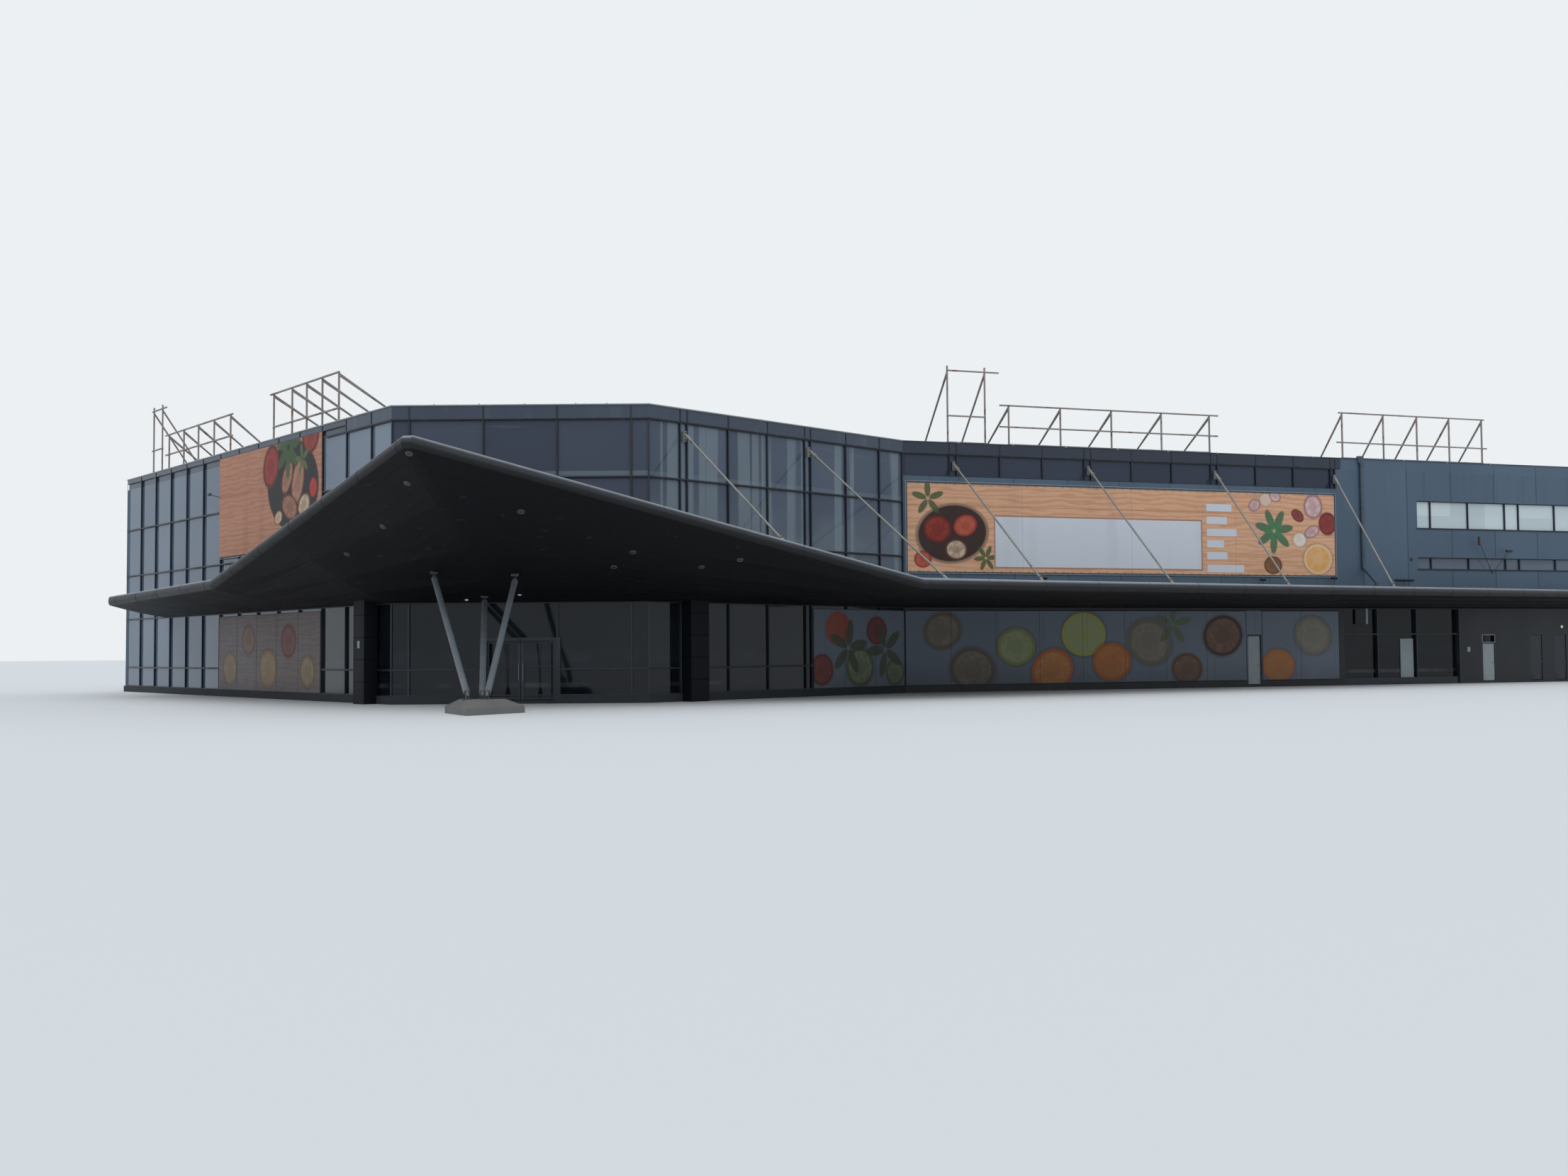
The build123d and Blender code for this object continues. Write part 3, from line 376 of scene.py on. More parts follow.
sun_data = bpy.data.lights.new("soft_sun", "SUN")
sun_data.energy = SUN_STRENGTH
sun_data.angle = math.radians(SUN_ANGLE)
sun = bpy.data.objects.new("soft_sun", sun_data)
bpy.context.scene.collection.objects.link(sun)
sun.rotation_euler = (math.radians(SUN_TURN[0]), math.radians(SUN_TURN[1]), 0)
print("world", len(sky.tree.nodes), "nodes, sun", SUN_STRENGTH)

# %% [markdown]
# ## Finishes of walls and glass
# Each wall's pattern is measured along that wall, so that panes and cladding sheets
# begin where the frame's bars stand. A pane's own random number shifts its tone a
# little, as panes that hang at slightly different angles do. What is seen through the
# glass, such as pale inner columns and a shelf, is painted into the pane's colour: real
# see-through glass would need a furnished hall behind it.

# %% Heights of the rails
SILL_RAIL, HEAD_RAIL, MIDDLE_RAIL, UPPER_RAIL = 0.140, 0.415, 0.665, 0.930
BAND_LOW, WALL_TOP = 1.170, 1.230
RAILS = (SILL_RAIL, HEAD_RAIL, MIDDLE_RAIL, UPPER_RAIL)
BAR = 0.008


def row_number(height):
    """Number of the row of panes that a height lies in."""
    return sum((height > rail for rail in RAILS[1:]), height > RAILS[0])


def wall_start(wall, distance=0.0):
    """Value of a wall's own coordinate at a distance along it."""
    return on_wall(wall, distance).dot(along[wall])


# %% Bars of the curtain walls
def upright_bars(node, wall):
    """Distances along a wall of the middles of a frame's upright bars."""
    mesh = frame["nodes"][node].data
    sides = set()
    for edge in mesh.edges:
        foot, head = (mesh.vertices[index].co for index in edge.vertices)
        if abs(foot.z - head.z) > 0.05 and (foot - head).xy.length < 1e-4:
            sides.add(round((foot - corners[wall]).dot(along[wall]), 3))
    places = sorted(sides)
    pairs = [(low, high) for low in places for high in places if abs(high - low - BAR) < 0.0012]
    return [(low + high) / 2 for low, high in pairs]


WALL_FRAMES = {LEFT: "left_frame", FRONT: "front_frame", RIGHT: "right_frame", MAIN: "strip_frame"}
bars = {wall: upright_bars(node, wall) for wall, node in WALL_FRAMES.items()}
for wall, places in bars.items():
    print("wall", wall, "bars at", [round(place, 3) for place in places])


# %% Powder-coated frames
def make_frame_finish():
    """Blue-black powder coat, dusty on its faces and marked with thin upright streaks."""
    finish = Finish("powder_coat")
    dust = finish.noise(5.0, 4.0).ramp(0.42, 0.75)
    streak = finish.noise(40.0, 3.0, (1, 1, 0.05)).ramp(0.55, 0.75)
    colour = finish.mix(dust, (25, 31, 41), (42, 49, 60))
    finish.put("Base Color", finish.mix(streak * 0.3, colour, (70, 78, 88)))
    finish.put("Roughness", dust * 0.25 + 0.35)
    finish.bump(finish.noise(900.0, 2.0), 0.0002, 0.2)
    return finish


frame_finish = make_frame_finish()
frame_finish.show_on(
    "left_frame", "front_frame", "right_frame", "strip_frame", "ribbon_frame", "shop_frame",
    "entrance_portal", "door_track", "entrance_leaf_left", "entrance_leaf_right")


# %% Glass
def make_glass(name, wall, start, bay, dark, light, below, depth, pale, hall=0.0, near=0.0,
               split=HEAD_RAIL, specular=0.6):
    """Reflecting panes with what stands in the hall, paler above a split and darker below it; low down the
    darkness is painted shade with painted reflections.
    """
    finish = Finish(name, specular=specular)
    place = finish.measure(along[wall], wall_start(wall, start))
    height = finish.measure(UP)
    pane = (place / bay).floor()
    row = row_number(height)
    tone = finish.random(pane, row)
    cloud = finish.noise(1.6, 2.0, (1, 1, 2.4))
    colour = finish.mix(tone * 0.5 + cloud * 0.5, dark, light)
    ceiling = (height * 41.0 + cloud * 5.0) % 1.0
    streaks = ceiling.band(0.3, 0.9, 0.25) * finish.noise(2.4, 2.0, (1, 1, 8)).ramp(0.52, 0.74)
    colour = finish.mix(streaks * height.ramp(1.0, 1.12) * 0.45 * pale, colour, blind_shade)
    column = finish.noise(7.5, 1.0, (1, 1, 0.02), 4.0).ramp(0.50, 0.53)
    thinner = finish.noise(26.0, 1.0, (1, 1, 0.02), 1.0).ramp(0.36, 0.44)
    colour = finish.mix(column * thinner * hall * (cloud * 0.7 + 0.4), colour, blind_shade)
    low_hall = height.band(HEAD_RAIL + 0.09, UPPER_RAIL - 0.05, 0.12) * cloud.ramp(0.3, 0.7)
    colour = finish.mix(low_hall * hall * 0.5, colour, blind_shade)
    # painted reflection: the panes grow paler towards the corner with the front wall
    colour = finish.mix(place.ramp(2.3, 3.3) * near, colour, (122, 136, 151))
    shelf = height.band(UPPER_RAIL + 0.004, UPPER_RAIL + 0.027, 0.004)
    colour = finish.mix(shelf * pale * 0.8, colour, blind_shade)
    # below the split the panes take darker colours: painted shade and a painted reflection of dark ground,
    # with the hall's goods in them
    under = 1.0 - height.ramp(split - 0.004, split + 0.004)
    floor_line = height.band(SILL_RAIL + 0.012, SILL_RAIL + 0.09, 0.03)
    goods = finish.cells(place, height * 0.6, 11.0, 4.0).ramp(0.2, 0.6) * floor_line
    # painted reflection: soft dark greenish patches in the low panes
    painted_dark_reflection = finish.noise(3.4, 3.0, (1, 1, 1.6), 6.0).ramp(0.42, 0.66)
    painted_dark_reflection = painted_dark_reflection * height.band(0.10, 0.42, 0.10)
    inside = finish.mix(tone * 0.3 + cloud * 0.3 + goods * 0.5, *below)
    inside = finish.mix(painted_dark_reflection * 0.55, inside, (26, 33, 30))
    # painted reflection: a pale broken band low in the panes
    painted_pale_reflection = height.band(0.062, 0.088, 0.008)
    painted_pale_reflection = painted_pale_reflection * finish.noise(5.0, 3.0, (1, 1, 0.2), 2.0).ramp(0.46, 0.66)
    inside = finish.mix(painted_pale_reflection * 0.5, inside, (74, 80, 88))
    finish.put("Base Color", finish.mix(under * place.ramp(depth, depth + 0.1), colour, inside))
    finish.put("Roughness", finish.noise(30.0, 2.0) * 0.05 + 0.03)
    finish.bump(finish.noise(2.2, 1.0, (1, 1, 1.5)), 0.02, 0.2)
    return finish


blind_shade = (124, 139, 146)
# colours of the low panes, darkened with painted shade of the canopy
shaded_low_glass = ((7, 10, 15), (27, 33, 42))
left_glass = make_glass(
    "left_wall_glass", LEFT, 0.0, 0.2446, (76, 91, 109), (97, 114, 133),
    shaded_low_glass, 2.62, 0.1, near=0.8)
front_glass = make_glass(
    "front_wall_glass", FRONT, 0.073, 0.3047, (51, 58, 73), (72, 80, 98),
    shaded_low_glass, -1.0, 0.55, specular=0.35)
right_glass = make_glass(
    "right_wall_glass", RIGHT, 0.211, 0.237, (66, 76, 92), (84, 95, 112),
    shaded_low_glass, -1.0, 0.3, hall=0.75, specular=0.35)
# below the split these panes take near-black colours: painted shade
main_glass = make_glass(
    "main_wall_glass", MAIN, 0.02, 0.25, (42, 49, 63), (58, 66, 82),
    ((4, 6, 9), (18, 22, 28)), -9.0, 0.0, specular=0.3)
ribbon_glass = make_glass(
    "ribbon_window_glass", MAIN, 3.065, 0.24, (168, 182, 186), (204, 216, 218),
    ((74, 88, 104), (104, 117, 130)), -1.0, 0.0, split=0.78)
left_glass.show_on("left_glass")
front_glass.show_on("front_glass")
right_glass.show_on("right_glass")
main_glass.show_on("strip_glass", "shop_glass", "end_glass", "back_glass")
ribbon_glass.show_on("ribbon_glass")


# %% Slate-coloured sheets
def make_sheet_finish(name, wall, sheet, base, light):
    """Painted metal sheets with upright joints, faded and streaked by rain."""
    finish = Finish(name)
    place = finish.measure(along[wall], wall_start(wall))
    height = finish.measure(UP)
    tone = finish.random((place / sheet).floor(), 1.0)
    rain = finish.noise(9.0, 4.0, (1, 1, 0.08))
    faded = finish.noise(2.0, 3.0)
    colour = finish.mix(tone * 0.3 + rain * 0.4 + faded * 0.3, base, light)
    joint = place.joints(sheet, 0.488, 0.496)
    colour = finish.mix(joint * 0.35, colour, (24, 30, 38))
    drip = (1.0 - finish.noise(34.0, 3.0, (1, 1, 0.03)).ramp(0.3, 0.46)) * height.ramp(0.7, 1.17)
    colour = finish.mix(drip * 0.35, colour, (48, 58, 68))
    grime = (1.0 - height.ramp(0.0, 0.14)) * finish.noise(14.0, 4.0)
    finish.put("Base Color", finish.mix(grime * 0.6, colour, (34, 34, 34)))
    finish.put("Roughness", rain * 0.2 + 0.42)
    finish.bump(0.0 - joint, 0.004, 0.6)
    return finish


SHEET_WIDTH = 0.30
slates = ((60, 78, 95), (82, 103, 122))
main_sheet = make_sheet_finish("slate_sheets", MAIN, SHEET_WIDTH, *slates)
main_sheet.show_on("metal_wall", "main_wall")
for name, wall, shades, nodes in (
    # the ground-floor sheets below the canopy get darker colours: painted shade
    ("ground_sheets", MAIN, ((19, 21, 25), (29, 32, 37)), ("ground_wall", "ground_lintel")),
    ("rear_sheets", MAIN, slates, ("back_wall",)),
    ("end_sheets", END, slates, ("end_wall",)),
):
    make_sheet_finish(name, wall, SHEET_WIDTH, *shades).show_on(*nodes)


# %% Spandrel panes behind the band at the top
STRIP_END = 2.565


def make_spandrel():
    """Grey-blue panes that hide the roof's edge, and slate sheets past the strip window."""
    finish = Finish("spandrel")
    cloud = finish.noise(2.0, 2.0)
    dust = finish.noise(18.0, 4.0, (1, 1, 0.3)).ramp(0.5, 0.8)
    colour = finish.mix(cloud, (48, 59, 74), (66, 78, 94))
    colour = finish.mix(dust * 0.3, colour, (96, 106, 116))
    main = finish.measure(along[MAIN], wall_start(MAIN))
    behind = finish.measure(-outward[MAIN], wall_start(END))
    over_strip = main.band(0.0, STRIP_END, 0.001) * (1.0 - behind.ramp(0.02, 0.021))
    beyond = main.ramp(STRIP_END, STRIP_END + 0.001)
    colour = finish.mix(beyond, colour, finish.mix(cloud, *slates))
    dark_panes = finish.mix(cloud, (36, 42, 54), (50, 58, 72))
    finish.put("Base Color", finish.mix(over_strip, colour, dark_panes))
    finish.put("Roughness", finish.noise(25.0) * 0.1 + (beyond * 0.35 + 0.08))
    return finish


make_spandrel().show_on("parapet")


# %% Concrete, stone and membrane
def make_mineral(name, base, light, scale):
    """Cast or laid mineral surface with stains, pits and fine grain."""
    finish = Finish(name)
    stains = finish.noise(scale, 5.0)
    grain = finish.noise(scale * 40, 3.0)
    pits = 1.0 - finish.noise(scale * 22, 2.0).ramp(0.26, 0.33)
    colour = finish.mix(stains * 0.7 + grain * 0.3, base, light)
    finish.put("Base Color", finish.mix(pits * 0.6, colour, (40, 40, 40)))
    finish.put("Roughness", grain * 0.2 + 0.7)
    finish.bump(grain - pits, 0.001, 0.5)
    return finish


for name, base, light, scale, nodes in (
    ("pedestal_concrete", (84, 84, 82), (128, 128, 124), 9.0, ("pedestal",)),
    ("floor_concrete", (70, 71, 72), (94, 95, 95), 3.0,
     ("ground_slab", "upper_floor", "top_floor")),
    ("roof_membrane", (84, 88, 92), (112, 116, 119), 2.5, ("roof_slab",)),
    ("plinth_stone", (30, 33, 38), (50, 54, 59), 7.0, ("plinth",)),
):
    make_mineral(name, base, light, scale).show_on(*nodes)


# %% Piers
PIER_SHEET = 0.0925


def make_pier_finish():
    """Dark slate sheets with level joints, darkened further with painted shade of the canopy."""
    finish = Finish("pier_sheets", specular=0.15)
    height = finish.measure(UP)
    joint = height.joints(PIER_SHEET, 0.47, 0.49)
    rain = finish.noise(12.0, 4.0, (1, 1, 0.1))
    # colours darkened with painted shade of the canopy
    colour = finish.mix(rain, (9, 12, 18), (18, 22, 30))
    finish.put("Base Color", finish.mix(joint * 0.7, colour, (10, 12, 16)))
    finish.put("Roughness", rain * 0.2 + 0.4)
    finish.bump(0.0 - joint, 0.003, 0.6)
    return finish


make_pier_finish().show_on("entrance_piers")

# %% [markdown]
# ## Finishes of the canopy
# The canopy is two folded, twisted wings behind a bent metal nose. Its underside is
# boarded, dark and darkened further to nearly black with painted shade. The nose is dull metal
# that catches the sky on its upper side only, so its colour follows the direction that each face looks in.


# %% Canopy boards
def make_soffit(name, dark, light, far):
    """Near-black boards, darkened with painted shade, paler where painted daylight reaches under the tip.
    """
    finish = Finish(name, specular=0.2)
    wear = finish.noise(3.0, 4.0)
    reach = finish.measure(along[LEFT], wall_start(LEFT))
    tip = 1.0 - reach.ramp(0.7, 2.3)
    colour = finish.mix(wear, dark, light)
    colour = finish.mix(tip * far, colour, (44, 47, 51))
    scuffs = finish.noise(16.0, 3.0, (1, 1, 4)).ramp(0.66, 0.74)
    top = finish.upward().ramp(0.2, 0.6)
    colour = finish.mix(scuffs * 0.35, colour, (60, 61, 62))
    finish.put("Base Color", finish.mix(top, colour, (70, 73, 76)))
    finish.put("Roughness", wear * 0.25 + 0.5)
    finish.bump(wear, 0.002, 0.3)
    return finish


# board colours: a dark board colour darkened further with painted shade; the left wing's tip gets painted
# daylight
soffits = {
    "canopy_left": make_soffit("canopy_boards_left", (8, 8, 11), (16, 16, 20), 1.0),
    "canopy_right": make_soffit("canopy_boards_right", (8, 8, 12), (14, 14, 18), 0.0),
}
for node, finish in soffits.items():
    finish.show_on(node)


# %% Canopy nose
def make_nose():
    """Bent metal sheet, dark in front, darker below with painted shade, pale on top with a painted sky
    reflection.
    """
    finish = Finish("canopy_nose_metal", metal=0.35)
    up = finish.upward()
    wear = finish.noise(14.0, 5.0, (1, 1, 2))
    front = finish.mix(wear, (40, 42, 46), (58, 60, 64))
    # painted shade: faces that look down go darker
    colour = finish.mix(up.ramp(-0.35, 0.15), (22, 23, 25), front)
    # painted reflection of the sky on faces that look up, broken up by the wear noise
    colour = finish.mix(up.ramp(0.35, 0.95) * (wear * 0.4 + 0.75), colour, (158, 163, 168))
    finish.put("Base Color", colour)
    finish.put("Roughness", wear * 0.25 + 0.35)
    finish.bump(finish.noise(8.0, 3.0), 0.006, 0.25)
    return finish


nose_finish = make_nose()
nose_finish.show_on("canopy_nose_left", "canopy_nose_right")


# %% [markdown]
# ## Paint on steel
# Columns, rods, brackets, the pipe and the roof frames all carry old paint. One function
# makes them: two tones of the paint, and rust that comes through in spots. Only the
# colours, the size of the spots and their amount differ.

# %% Columns, rods, brackets and roof frames
def make_paint(name, paint, worn, rust, amount, scale):
    """Old paint on steel with rust coming through."""
    finish = Finish(name)
    wear = finish.noise(scale, 5.0)
    spots = finish.noise(scale * 4, 4.0).ramp(0.72 - amount, 0.8 - amount * 0.5)
    colour = finish.mix(wear, paint, worn)
    finish.put("Base Color", finish.mix(spots, colour, rust))
    finish.put("Roughness", spots * 0.35 + 0.45)
    finish.bump(spots, 0.0006, 0.6)
    return finish


rust = (112, 76, 54)
column_paint, rod_paint, bracket_rust, sign_steel, pipe_paint, white_enamel, dark_enamel = [
    make_paint(*paint) for paint in (
        ("column_paint", (119, 127, 134), (90, 95, 98), rust, 0.04, 9.0),
        ("rod_paint", (158, 157, 152), (122, 118, 112), rust, 0.08, 12.0),
        ("bracket_rust", (72, 70, 67), (54, 48, 43), (84, 60, 46), 0.16, 20.0),
        ("sign_steel", (158, 152, 146), (120, 108, 100), rust, 0.18, 7.0),
        ("pipe_paint", (70, 86, 100), (56, 68, 80), rust, 0.0, 8.0),
        ("white_enamel", (150, 160, 163), (126, 136, 140), (96, 92, 84), 0.02, 6.0),
        ("dark_enamel", (26, 30, 37), (36, 41, 49), (50, 48, 46), 0.02, 6.0),
    )]
zinc = make_paint("zinc", (150, 158, 156), (122, 130, 130), (96, 98, 96), 0.02, 14.0)
dark_fitting = make_paint("dark_fitting", (30, 32, 36), (44, 46, 50), rust, 0.02, 14.0)
column_paint.show_on("columns")
rod_paint.show_on("tie_rods")
bracket_rust.show_on("column_brackets")
sign_steel.show_on("sign_frames_left", "sign_frames_right")
pipe_paint.show_on("rain_pipe")
white_enamel.show_on("service_door_1", "service_door_2", "shop_panel")
dark_enamel.show_on("service_door_3", "service_door_4", "door_frames")

# %% [markdown]
# ## Printed banners and panels
# The large prints are drawn with plain shapes of the builder's own: boards of wood, a
# blank white sheet, round slices, leaves and soft drops. An oval is a sum of two squares
# that is compared with 1, so a whole still life is a few lines of numbers: where each
# shape lies, how wide it is, how it is turned and which colours it has.


# %% Shapes of a print
class Picture:
    """A picture laid on a wall step by step; each step goes over the colour so far."""

    def __init__(self, finish, first, second, colour, mottle):
        self.finish, self.first, self.second = finish, first, second
        self.colour, self.mottle = colour, mottle
        self.flat = finish.flat(first, second)

    def lay(self, mask, colour):
        """Mixes a colour over the picture where a mask is 1."""
        self.colour = self.finish.mix(mask, self.colour, colour)

    def reach(self, middle, radii, turned=0.0):
        """Distance from the middle of an oval: 1 on its edge."""
        sockets = {"Vector": self.flat, "Location": (*middle, 0.0), "Scale": (*radii, 1.0),
                   "Rotation": (0.0, 0.0, math.radians(turned))}
        spot = self.finish.node("ShaderNodeMapping", {"vector_type": "TEXTURE"}, sockets)
        settings = {"operation": "LENGTH"}
        return self.finish.node("ShaderNodeVectorMath", settings, {"Vector": spot}, "Value")

    def within(self, reach, size=1.0, soft=0.06):
        """1 where a distance is below a size and 0 beyond it."""
        low, high = size * (1.0 - soft / 2), size * (1.0 + soft / 2)
        sockets = {"Value": reach, "From Min": low, "From Max": high, "To Min": 1.0, "To Max": 0.0}
        return self.finish.node("ShaderNodeMapRange", {"interpolation_type": "SMOOTHSTEP"}, sockets)

    def oval(self, middle, radii, turned=0.0, soft=0.06):
        """1 inside an oval and 0 outside it."""
        return self.within(self.reach(middle, radii, turned), 1.0, soft)

    def box(self, low, high, soft=0.002):
        """1 inside an upright rectangle and 0 outside it."""
        return self.first.band(low[0], high[0], soft) * self.second.band(low[1], high[1], soft)

    def slice(self, middle, radius, skin, flesh, squash=0.9, turned=0.0):
        """A round slice with a shadow, a skin, a paler flesh and a speckled heart."""
        reach = self.reach(middle, (radius, radius * squash), turned)
        self.lay(self.within(reach, 1.08, 0.2) * 0.4, (60, 34, 24))
        self.lay(self.within(reach), skin)
        self.lay(self.within(reach, 0.84, 0.12) * (self.mottle * 0.45 + 0.5), flesh)
        self.lay(self.within(reach, 0.4, 0.5) * self.mottle * 0.6, skin)

    def leaves(self, middle, reach, count, green, start=0.0):
        """A spray of leaves around a point."""
        for number in range(count):
            turned = start + number * 360.0 / count
            away = [reach * 0.6 * turn_of(math.radians(turned)) for turn_of in (math.cos, math.sin)]
            spot = (middle[0] + away[0], middle[1] + away[1])
            self.lay(self.oval(spot, (reach * 0.5, reach * 0.2), turned, 0.25) * 0.9, green)


def boards(finish, first, second, board, light, dark):
    """Wooden boards with grain along the wall and thin joints."""
    number = (second / board).floor()
    shift = finish.random(number, 2.0)
    wave = finish.noise(5.0, 4.0, (1, 1, 6), 3.0)
    grain = ((second * 38.0 + wave * 2.6 + shift * 9.0) % 1.0).band(0.1, 0.9, 0.35)
    colour = finish.mix(grain * 0.55 + shift * 0.35, light, dark)
    gap = second.joints(board, 0.482, 0.496)
    return finish.mix(gap * 0.55, colour, (120, 74, 44))


# %% Colours of the prints
WOOD_LIGHT, WOOD_DARK = (222, 174, 140), (196, 144, 110)
OLD_WOOD_LIGHT, OLD_WOOD_DARK = (188, 134, 106), (164, 110, 86)
TOMATO, DARK_RED, BROWN = (150, 52, 40), (98, 34, 32), (96, 58, 42)
FLESH, CREAM, GREEN = (186, 96, 70), (206, 186, 158), (66, 88, 52)
SHEET_WHITE = (204, 210, 218)
LIME, ORANGE, PALE_GREEN = (120, 128, 62), (168, 92, 44), (142, 150, 116)


# %% What both banners have
BANNERS = {LEFT: (1.462, 2.690, 0.700, 1.200), MAIN: (0.020, 2.515, 0.590, 1.025)}
SEAM_STEP = 0.6238


def start_banner(name, wall, board, light, dark):
    """Finish and picture of a banner; the picture starts as bare boards."""
    left, _, low, _ = BANNERS[wall]
    finish = Finish(name, specular=0.3)
    first = finish.measure(along[wall], wall_start(wall, left))
    second = finish.measure(UP, low)
    wood = boards(finish, first, second, board, light, dark)
    mottle = finish.noise(46.0, 3.0).ramp(0.35, 0.65)
    return finish, Picture(finish, first, second, wood, mottle)


# %% Banner on the main wall
def make_main_banner():
    """Boards, a blank sheet and a still life of slices and leaves."""
    finish, picture = start_banner("main_banner_print", MAIN, 0.1087, WOOD_LIGHT, WOOD_DARK)
    bowl = picture.reach((0.24, 0.19), (0.20, 0.15), 8.0)
    picture.lay(picture.within(bowl), (150, 120, 100))
    picture.lay(picture.within(bowl, 0.92), (58, 40, 36))
    garlic, onion, red_onion = (214, 184, 176), (160, 116, 130), (112, 44, 46)
    for row in (
        ((0.16, 0.21), 0.075, DARK_RED, TOMATO, 0.9, 0.0),
        ((0.31, 0.23), 0.065, TOMATO, FLESH, 0.8, 20.0),
        ((0.26, 0.11), 0.060, BROWN, CREAM, 0.85, 0.0),
        ((0.08, 0.06), 0.045, TOMATO, FLESH, 0.9, 0.0),
        ((1.99, 0.370), 0.038, onion, garlic, 0.8, 30.0),
        ((2.06, 0.400), 0.036, CREAM, garlic, 0.9, 0.0),
        ((2.12, 0.420), 0.036, onion, garlic, 0.8, -30.0),
        ((2.10, 0.053), 0.055, (96, 66, 44), (140, 96, 62), 0.85, 0.0),
        ((2.27, 0.190), 0.043, CREAM, (226, 218, 214), 0.9, 0.0),
        ((2.26, 0.320), 0.042, red_onion, (140, 70, 66), 0.7, -35.0),
        ((2.36, 0.370), 0.058, onion, garlic, 1.1, 0.0),
        ((2.35, 0.235), 0.050, onion, garlic, 0.6, 25.0),
        ((2.45, 0.280), 0.055, red_onion, (150, 60, 56), 1.1, 0.0),
        ((2.385, 0.088), 0.090, (220, 190, 148), (222, 158, 84), 0.9, 0.0),
    ):
        picture.slice(*row)
    picture.leaves((0.11, 0.36), 0.08, 5, GREEN, 20.0)
    picture.leaves((0.42, 0.07), 0.06, 6, GREEN, 5.0)
    picture.leaves((2.11, 0.235), 0.11, 7, (44, 104, 74), 10.0)
    picture.leaves((2.11, 0.235), 0.06, 5, (66, 128, 84), 40.0)
    picture.lay(picture.box((0.465, 0.018), (1.668, 0.286)), (170, 128, 108))
    picture.lay(picture.box((0.472, 0.026), (1.660, 0.278)), SHEET_WHITE)
    for middle, width in ((0.351, 0.155), (0.284, 0.125), (0.221, 0.185), (0.161, 0.105),
                          (0.099, 0.125), (0.032, 0.226)):
        ends = (1.694, middle - 0.020), (1.694 + width, middle + 0.020)
        picture.lay(picture.box(*ends), SHEET_WHITE)
    seam = picture.first.joints(SEAM_STEP, 0.497, 0.4985)
    dust = finish.noise(7.0, 4.0, (1, 1, 0.15)).ramp(0.5, 0.8)
    picture.lay(dust * 0.16, (122, 118, 116))
    picture.lay(seam * 0.25, (96, 66, 48))
    finish.put("Base Color", picture.colour)
    finish.put("Roughness", dust * 0.2 + 0.5)
    finish.bump(finish.noise(3.0, 2.0, (1, 1, 2)) + finish.noise(420.0, 1.0) * 0.02, 0.01, 0.3)
    return finish


make_main_banner().show_on("main_banner")


# %% Banner on the left wall
def make_left_banner():
    """Boards with a dark pan, slices and leaves in the lower right."""
    finish, picture = start_banner("left_banner_print", LEFT, 0.1, OLD_WOOD_LIGHT, OLD_WOOD_DARK)
    picture.lay(picture.oval((0.91, 0.29), (0.29, 0.21), -6.0), (44, 40, 42))
    for row in (
        ((0.66, 0.40), 0.105, (96, 40, 40), (160, 58, 50), 0.85, 60.0),
        ((0.85, 0.33), 0.090, BROWN, (176, 128, 104), 0.6, 55.0),
        ((0.97, 0.30), 0.110, (120, 74, 54), (180, 134, 110), 0.6, 70.0),
        ((0.88, 0.19), 0.095, BROWN, (168, 118, 96), 0.6, -20.0),
        ((1.04, 0.19), 0.070, (120, 74, 54), CREAM, 0.7, 20.0),
        ((1.11, 0.50), 0.090, DARK_RED, (156, 66, 60), 0.9, 0.0),
        ((1.14, 0.26), 0.040, TOMATO, (186, 60, 50), 1.1, 0.0),
        ((0.75, 0.15), 0.045, (150, 108, 60), CREAM, 0.7, 15.0),
    ):
        picture.slice(*row)
    picture.leaves((0.86, 0.47), 0.13, 7, GREEN, 12.0)
    picture.leaves((1.02, 0.40), 0.07, 5, (84, 106, 60), 30.0)
    dust = finish.noise(7.0, 4.0, (1, 1, 0.15)).ramp(0.5, 0.8)
    picture.lay(dust * 0.2, (122, 116, 112))
    finish.put("Base Color", picture.colour)
    finish.put("Roughness", dust * 0.2 + 0.5)
    finish.bump(finish.noise(3.0, 2.0, (1, 1, 2)), 0.01, 0.3)
    return finish


make_left_banner().show_on("left_banner")


# %% Panels at ground level
PANEL_WIDTH = 0.25


